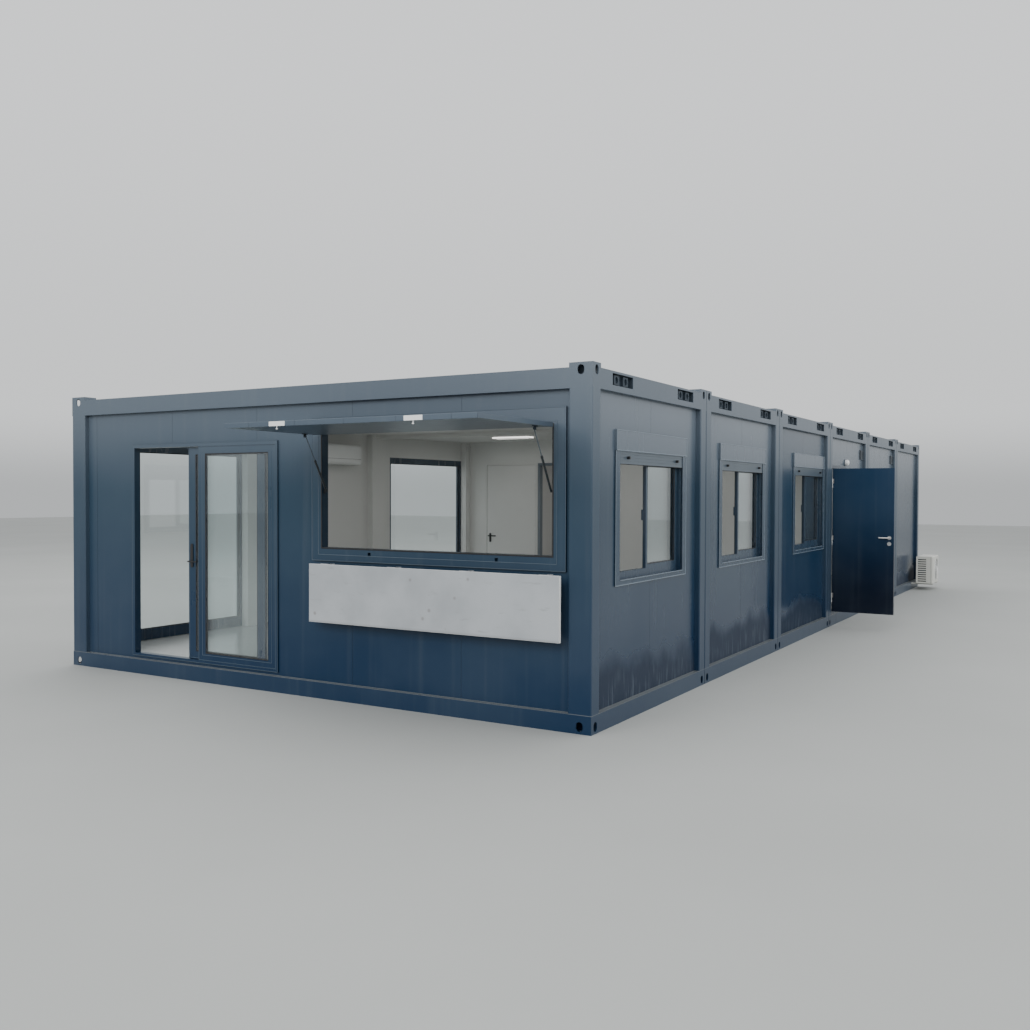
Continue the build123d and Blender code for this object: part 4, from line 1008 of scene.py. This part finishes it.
# %% Hatch edges and flap strip
raised = [(0.0, 0.001), (0.0, -0.0025), (0.004, -0.0025), (0.006, 0.001)]
step_low, step_high = hatch_low + (0.075, 0, 0.052), hatch_high - (0.075, 0, 0.105)
rim_lines = [
    mitred(hatch_low, hatch_high, Y, hatch_face, raised),
    mitred(step_low, step_high, Y, hatch_face, raised),
]
make_piece("hatch_edges", rim_lines, edge_highlight_paint, "cabin")
flap_low, flap_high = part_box("hatch_flap")
flap_top = 2.355
edge_strip = bar((flap_low[0], flap_low[1] - 0.003, flap_low[2] - 0.002),
                 (flap_high[0], flap_low[1] + 0.004, flap_top + 0.002), X, 0.0015)
make_piece("flap_edge", [edge_strip], flap_paint, "flap")

# %% [markdown]
# ## Edges of the sliding door
#
# The door's aluminium profiles have rolled edges. They show as pale outlines round the frame
# and round each leaf, so each of them is a raised mitred line, painted paler than the profile as a
# painted highlight. The one on the sliding leaf rides with that leaf.

# %% Door profile edges
thin = [(0.0, 0.001), (0.0, -0.0018), (0.003, -0.0018), (0.0045, 0.001)]


def outline(node, inset=0.0):
    """Raised line on the near face of a frame or leaf, set in from its edge."""
    low, high = np.array(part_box(node))
    return mitred(low + inset, high - inset, Y, low[1], thin)


door_lines = [
    outline("patio_frame"), outline("patio_fixed_leaf", 0.004), outline("patio_fixed_leaf", 0.052),
]
make_piece("patio_edges", door_lines, edge_highlight_paint, "cabin")
slide_lines = [outline("sliding_leaf", 0.010)]
make_piece("sliding_leaf_edges", slide_lines, edge_highlight_paint, "sliding_leaf")

# %% [markdown]
# ## Gas struts
#
# Each strut is a thin rod in a tube. Where the rod leaves the tube there is a gland nut. It is
# turned on the strut's own slanting line, from the foot in the reveal to the head on the flap.

# %% Strut glands
strut_foot = np.array([0.0, 0.030, 1.830])
strut_head = np.array([0.0, -0.240, 2.300])
strut_line = (strut_head - strut_foot) / np.linalg.norm(strut_head - strut_foot)
strut_inset = 0.026
tube_end = 0.300
gland_profile = [
    (0.0045, -0.012), (0.0100, -0.012), (0.0105, -0.010), (0.0105, -0.003), (0.008, 0.0),
    (0.0045, 0.0), (0.0045, -0.012),
]
gland_place = strut_foot + strut_line * tube_end
glands = [
    turned(gland_profile, gland_place + (x, 0, 0), strut_line, 18)
    for x in (opening_low[0] + strut_inset, opening_high[0] - strut_inset)
]
make_piece("strut_glands", glands, strut_black, "strut_tubes")

# %% [markdown]
# ## Counter board
#
# The board hangs flat in front of the wall when it is not in use. A pale edge band closes its
# four sides, and coach bolts hold its brackets to the wall. Only the ends of the bolts show.

# %% Counter edge and bolts
board_low, board_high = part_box("counter_board")
band_section = [(0.0, 0.0), (0.0, 0.026), (-0.0015, 0.0255), (-0.0015, 0.0005)]
band = mitred(board_low, board_high, Y, board_low[1] + 0.001, band_section)
make_piece("counter_band", [band], white_plastic, "counter")
bracket_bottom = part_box("counter_brackets")[0][2]
bracket_xs = board_low[0] + np.array([0.150, 0.875, 1.601, 2.326])
bolt_zs = (bracket_bottom + 0.03, bracket_bottom + 0.10)
bolt_places = [(x, front_face - 0.005, z) for x in bracket_xs for z in bolt_zs]
bolts = at_places(screw_head((0, -1, 0), 0.007, 0.006), bolt_places)
make_piece("counter_bolts", [bolts], zinc, "cabin")

# %% [markdown]
# ## Side door
#
# The open steel door shows its hinge screws, a black seal in the frame's rebate and a raised
# edge where the two skins are folded together. The lock cylinder's narrow keyhole is a black bar,
# painted shade.

# %% Door seal and folded edge
way_y = (7.524, 8.352)
way_z = (0.190, 2.183)
stop_face = 2.9425
seal_depth, seal_width = 0.005, 0.010
seal_low = np.array([stop_face - 0.001, way_y[0], way_z[0]])
seal_high = np.array([stop_face + seal_depth, way_y[1], way_z[1]])
seal_run = seal_high - seal_low - seal_width
rebate_seal = [
    bar(seal_low, seal_high - (0, seal_run[1], 0), Z, 0.002),
    bar(seal_low + (0, seal_run[1], 0), seal_high, Z, 0.002),
    bar(seal_low + (0, 0, seal_run[2]), seal_high, Y, 0.002),
]
make_piece("side_door_seal", rebate_seal, rubber, "cabin")
door_low, door_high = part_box("side_door_leaf")
door_face = door_low[1]
skin_fold = [(0.0, 0.0005), (0.014, 0.0005), (0.014, -0.0012), (0.0, -0.0012)]
folds = mitred(door_low, door_high, Y, door_face, skin_fold)
make_piece("side_door_fold", [folds], door_paint, "side_door")

# %% [markdown]
# ## Screws and keyhole of the side door
#
# Each hinge tab is held by two screws, and so is each of the two round roses: one under the
# lever, one round the lock cylinder. The screws are one small head, copied to all places.

# %% Door screws and keyhole
hinge_heights = np.array([0.385, 1.183, 1.970])
tab_thickness, rose_thickness, cylinder_reach = 0.004, 0.006, 0.013
tab_x = door_low[0] + 0.010
lever_x = door_high[0] - 0.060
rose_heights, rose_screw_reach = (1.230, 1.150), 0.019
tab_screws = [(tab_x, door_face - tab_thickness, z + dz) for z in hinge_heights for dz in (0.014, 0.051)]
rose_screws = [
    (lever_x + dx, door_face - rose_thickness, z)
    for z in rose_heights for dx in (-rose_screw_reach, rose_screw_reach)
]
door_screws = at_places(screw_head((0, -1, 0), 0.0035, 0.0012), tab_screws + rose_screws)
make_piece("side_door_screws", [door_screws], stainless, "side_door")
# Painted shade: the keyhole slot is a black bar.
keyhole_y = (door_face - cylinder_reach - 0.0016, door_face - cylinder_reach)
keyhole = bar((lever_x - 0.0012, keyhole_y[0], 1.146), (lever_x + 0.0012, keyhole_y[1], 1.155), Z, 0.0005)
make_piece("side_door_keyhole", [keyhole], black_plastic, "side_door")

# %% [markdown]
# ## Inner door
#
# The white inner door has long black plates under its levers. Each plate is held by two screws
# and has a keyhole below the lever, a dark bar as painted shade.

# %% Inner door plates
inner_low, inner_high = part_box("inner_door_leaf")
inner_lever_x = inner_low[0] + 0.060
plate_thickness = 0.006
plate_screw_zs, keyhole_zs = (1.035, 1.155), (1.060, 1.075)
plate_screws, keyholes = [], []
# Painted shade: each keyhole slot is a dark bar.
for face, way in ((inner_low[1] - plate_thickness, -1), (inner_high[1] + plate_thickness, 1)):
    places = [(inner_lever_x, face, z) for z in plate_screw_zs]
    plate_screws.append(at_places(screw_head((0, way, 0), 0.004, 0.0012), places))
    keyholes.append(bar((inner_lever_x - 0.002, face - 0.0008, keyhole_zs[0]),
                        (inner_lever_x + 0.002, face + 0.0008, keyhole_zs[1]), Z, 0.0004))
make_piece("inner_plate_screws", plate_screws, stainless, "inner_door")
make_piece("inner_keyholes", keyholes, rubber, "inner_door")

# %% [markdown]
# ## Lamps
#
# A ceiling lamp is an opal trough in a white rim. The rim is what separates the glowing part
# from the ceiling, so it is a piece of its own. The round lamp beside the door sits on a plate.

# %% Lamp rims and plate
lamp_length, lamp_width, lamp_side = 0.620, 0.150, 1.290
rim_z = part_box("ceiling_lamps")[0][2] + 0.003
rim_section = [
    (-0.006, 0.0), (0.010, 0.0), (0.012, -0.004), (0.008, -0.008), (-0.004, -0.008), (-0.008, -0.004),
]
rims = []
half_lamp = np.array([lamp_length / 2, lamp_width / 2, 0])
for index in range(module_count):
    for side_x in (-lamp_side, lamp_side):
        centre = np.array([side_x, module_middle(index), 0])
        rims.append(mitred(centre - half_lamp, centre + half_lamp, Z, rim_z, rim_section))
make_piece("lamp_rims", rims, white_plastic, "cabin")
bulkhead_low, bulkhead_high = np.array(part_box("bulkhead_lamp"))
bulkhead_middle = (bulkhead_low + bulkhead_high) / 2
bulkhead_middle[0] = wall_outer
plate_profile = [
    (0.040, 0.0), (0.049, 0.0), (0.050, 0.003), (0.050, 0.008), (0.046, 0.012), (0.0415, 0.012),
    (0.040, 0.0),
]
plate = turned(plate_profile, bulkhead_middle, (1, 0, 0), 32)
make_piece("bulkhead_plate", [plate], grey_sheet, "cabin")

# %% [markdown]
# ## Indoor cooler
#
# The wall cooler blows down through a slot behind a swinging vane; a black bar in the slot is
# painted shade. Its front panel shows as a fine seam. The vane is a thin curved strip, so it is an
# arc that is carried along Y.

# %% Cooler vane, slot and seam
cooler_low, cooler_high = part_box("indoor_cooler")
vane_inset = 0.045
vane_outer, vane_inner = 0.0475, 0.0445


def cooler_vane():
    """Curved vane: an arc about the case's lower front edge, carried along Y and closed."""
    angle = np.linspace(math.radians(-80), math.radians(-14), 9)
    arc = np.stack([np.cos(angle), np.sin(angle)])
    section = np.concatenate([vane_outer * arc, vane_inner * arc[:, ::-1]], axis=1)
    near, far = cooler_low[1] + vane_inset, cooler_high[1] - vane_inset
    rows = np.array([near, near, near + 0.001, far - 0.001, far, far])
    points = np.zeros((6, section.shape[1], 3))
    points[:, :, 0] = cooler_high[0] - vane_inset + section[0]
    points[:, :, 1] = rows[:, None]
    points[:, :, 2] = cooler_low[2] + vane_inset + section[1]
    points[0] = points[0].mean(axis=0)
    points[-1] = points[-1].mean(axis=0)
    return shape(points)


# Painted shade: a black bar stands for the dark outlet slot.
slot = bar((cooler_high[0] - 0.105, cooler_low[1] + 0.040, cooler_low[2] - 0.001),
           (cooler_high[0] - 0.040, cooler_high[1] - 0.040, cooler_low[2] + 0.004), Y)
seam = bar((cooler_high[0] - 0.002, cooler_low[1] + 0.004, cooler_low[2] + 0.078),
           (cooler_high[0] + 0.0004, cooler_high[1] - 0.004, cooler_low[2] + 0.081), Y, 0.0003)
make_piece("cooler_vane", [cooler_vane()], white_plastic, "cabin")
make_piece("cooler_slots", [slot, seam], black_plastic, "cabin")

# %% [markdown]
# ## Fan of the outdoor unit
#
# The fan turns behind a guard of thin rings. A ring is a circle whose own section is a smaller
# circle, which is a torus. The blades are twisted sheets: their pitch angle falls from hub to
# tip, as on any fan that pushes air evenly.

# %% Rings and blades
fan_radius = 0.205
fan_offset, fan_height = 0.115, 0.385
fan_middle = np.array([unit_high[0], (unit_low[1] + unit_high[1]) / 2 + fan_offset, fan_height])
ring_steps, wire_steps, blade_steps = 56, 6, 8
hub_radius, tip_radius = 0.052, 0.190
hub_pitch, tip_pitch = 50, 22
hub_chord, chord_growth = 0.055, 0.25
half_sheet, blade_back = 0.0015, 0.014
depth_share, width_share = 0.22, 0.8


def wire_ring(radius, wire, forward_by):
    """Torus about +X at the fan's middle: (R + r cos v) (cos u, sin u) across, r sin v ahead."""
    around = np.linspace(0, 2 * np.pi, ring_steps, endpoint=False)[:, None]
    section = np.linspace(0, 2 * np.pi, wire_steps, endpoint=False)[None, :]
    reach = radius + wire * np.cos(section)
    ahead = np.broadcast_to(wire * np.sin(section), (ring_steps, wire_steps)) + forward_by
    points = np.stack([ahead, reach * np.cos(around), reach * np.sin(around)], axis=-1)
    return shape(points + fan_middle, close_rows=True)


def fan_blade(turn_by):
    """Twisted sheet: rows run from hub to tip, columns go round the section's two faces.

    At each radius a point lies chord * cos(pitch) round the fan and chord * sin(pitch) forward,
    the second one flattened, and half the sheet's thickness to either side of that.
    """
    radius = np.linspace(hub_radius, tip_radius, blade_steps)[:, None]
    pitch_angle = np.radians(np.linspace(hub_pitch, tip_pitch, blade_steps))[:, None]
    across = np.array([-1.0, -0.5, 0.0, 0.5, 1.0, 1.0, 0.5, 0.0, -0.5, -1.0])[None, :]
    face = np.array([1.0] * 5 + [-1.0] * 5)[None, :] * half_sheet
    chord = hub_chord + chord_growth * (radius - hub_radius)
    along = across * chord * np.cos(pitch_angle) - face * np.sin(pitch_angle)
    depth = across * chord * np.sin(pitch_angle) * depth_share + face * np.cos(pitch_angle)
    angle = along / radius * width_share + turn_by
    points = np.stack([depth - blade_back, radius * np.cos(angle), radius * np.sin(angle)], axis=-1)
    ends = points[:1] * 0 + points[0].mean(0), points[:1] * 0 + points[-1].mean(0)
    return shape(np.concatenate([ends[0], points, ends[1]]) + fan_middle)


# %% [markdown]
# ## Guard and fan
#
# The guard is a shallow dome: its inner rings stand further out than its rim. Eight spokes tie
# the rings together, and a round cap covers the spot where they meet.

# %% Fan guard and blades
dome_foot, dome_rise = 0.004, 0.010
ring_wire, rim_wire, spoke_wire = 0.0014, 0.004, 0.0016
cap_edge, spoke_reach = 0.036, 0.170
rings = [
    wire_ring(radius, ring_wire, dome_foot + dome_rise * (1 - radius / fan_radius))
    for radius in np.linspace(0.04, 0.200, 11)
]
rings.append(wire_ring(fan_radius + rim_wire, rim_wire, rim_wire / 2))
spokes = []
for angle in np.radians(np.arange(0, 360, 45)):
    aim = np.array([0.0, math.cos(angle), math.sin(angle)])
    start = fan_middle + aim * cap_edge + (0.011, 0, 0)
    reach = aim * spoke_reach + (-0.009, 0, 0)
    length = np.linalg.norm(reach)
    profile = [(0, 0), (spoke_wire, 0), (spoke_wire, length), (0, length)]
    spokes.append(turned(profile, start, reach, 6))
cap_profile = [(0, 0.008), (0.030, 0.008), (cap_edge, 0.010), (0.034, 0.015), (0.0, 0.018)]
cap = turned(cap_profile, fan_middle, (1, 0, 0), 24)
make_piece("fan_guard", rings + spokes + [cap], white_plastic, "cabin")
blades = [fan_blade(turn_by) for turn_by in (0.3, 2.394, 4.489)]
make_piece("fan_blades", blades, black_plastic, "cabin")

# %% [markdown]
# ## Roof screws
#
# The roof sheets are screwed down through the tops of their ribs. There are hundreds of screws,
# so one head of a few faces is copied with array arithmetic and stays a single mesh.

# %% Roof screws
roof_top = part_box("roof_panels")[1][2]
rib_inset, end_inset = 0.260, 0.20
rib_count, rib_screws = 14, 5
rib_x = np.linspace(left + rib_inset, right - rib_inset, rib_count)
one_module = np.linspace(end_inset, module_width - end_inset, rib_screws)
screw_y = (front + np.arange(module_count)[:, None] * pitch + one_module[None, :]).ravel()
grid_x, grid_y = np.meshgrid(rib_x, screw_y)
roof_places = np.stack([grid_x.ravel(), grid_y.ravel(), np.full(grid_x.size, roof_top)], axis=-1)
washer_profile = [
    (0, -0.001), (0.009, -0.001), (0.009, 0.0012), (0.0055, 0.0016), (0.0055, 0.0060), (0, 0.0062),
]
washer = turned(washer_profile, (0, 0, 0), (0, 0, 1), 6)
make_piece("roof_screws", [at_places(washer, roof_places)], zinc, "cabin")

# %% [markdown]
# ## The floor under the building
#
# The building stands on a plain pale floor. It is one large square with very soft clouds, so
# that it doesn't look like a flat cut-out.

# %% Stage
floor_half = 60.0


def stage_floor():
    """Flat pale square with very soft clouds."""
    finish = Finish("stage_floor")
    cloud = finish.noise(0.35, 4.0)
    colour = finish.mix(cloud, (0.31, 0.32, 0.31), (0.38, 0.39, 0.38))
    material = finish.surface(Base_Color=colour, Roughness=0.8)
    corners = [(-1, -1), (1, -1), (1, 1), (-1, 1)]
    mesh = bpy.data.meshes.new("stage_floor")
    mesh.from_pydata([(x * floor_half, y * floor_half, 0.0) for x, y in corners], [], [(0, 1, 2, 3)])
    floor = bpy.data.objects.new("stage_floor", mesh)
    mesh.materials.append(material)
    bpy.context.scene.collection.objects.link(floor)


stage_floor()

# %% [markdown]
# ## The sky
#
# The sky is brighter overhead than at the horizon, as it is on a grey day. That gradient is what
# the painted walls mirror: pale at the top and deep blue near the ground. A ramp over the
# height of the view direction makes it without any picture.

# %% Sky
horizon, low_sky, high_sky = (0.56, 0.58, 0.59), (0.92, 0.94, 0.95), (1.05, 1.07, 1.09)
stops = [(0.0, horizon), (0.08, low_sky), (0.40, high_sky)]
sky = Finish("sky", "World")
view_height = sky.axis("Z", sky.coordinates["Generated"])
ramp = sky.node("ShaderNodeValToRGB", {"stops": stops}, {"Fac": view_height})
inputs = {"Color": ramp.outputs["Color"], "Strength": 1.0}
bpy.context.scene.world = sky.close(sky.node("ShaderNodeBackground", inputs=inputs))
print("sky stops", len(stops))

# %% [markdown]
# ## Soft light
#
# Three large soft boxes lift the front, the right side and the roof out of the grey sky, and
# panels under the ceiling light the room as its own lamps do. The camera sees none of them. The
# room panels aren't mirrored either, because they would show in the floor and the glass.


# %% Soft boxes
def soft_box(name, place, target, size, power, mirrored=True):
    """Rectangular area light at place that faces target. The camera doesn't see it."""
    data = bpy.data.lights.new(name, "AREA")
    data.shape = "RECTANGLE"
    data.size, data.size_y = size
    data.energy = power
    lamp = bpy.data.objects.new(name, data)
    aim = (Vector(target) - Vector(place)).to_track_quat("-Z", "Y")
    lamp.matrix_world = Matrix.Translation(place) @ aim.to_matrix().to_4x4()
    lamp.visible_camera = False
    lamp.visible_glossy = mirrored
    bpy.context.scene.collection.objects.link(lamp)


soft_box("soft_front", (2.0, -16.0, 9.0), (0.0, 0.0, 1.5), (22.0, 8.0), 2200.0)
soft_box("soft_right", (18.0, 6.0, 9.0), (2.5, 6.0, 1.5), (24.0, 8.0), 1300.0)
soft_box("soft_top", (-4.0, 8.0, 16.0), (0.0, 7.0, 0.0), (20.0, 26.0), 2200.0)
room_power, room_height, room_panel = 11.0, 2.58, (4.6, 1.4)
for index in range(module_count):
    middle = module_middle(index)
    place, target = (0.0, middle, room_height), (0.0, middle, 0.0)
    soft_box(f"room_{index}", place, target, room_panel, room_power, mirrored=False)
print("lights", len(bpy.data.lights))
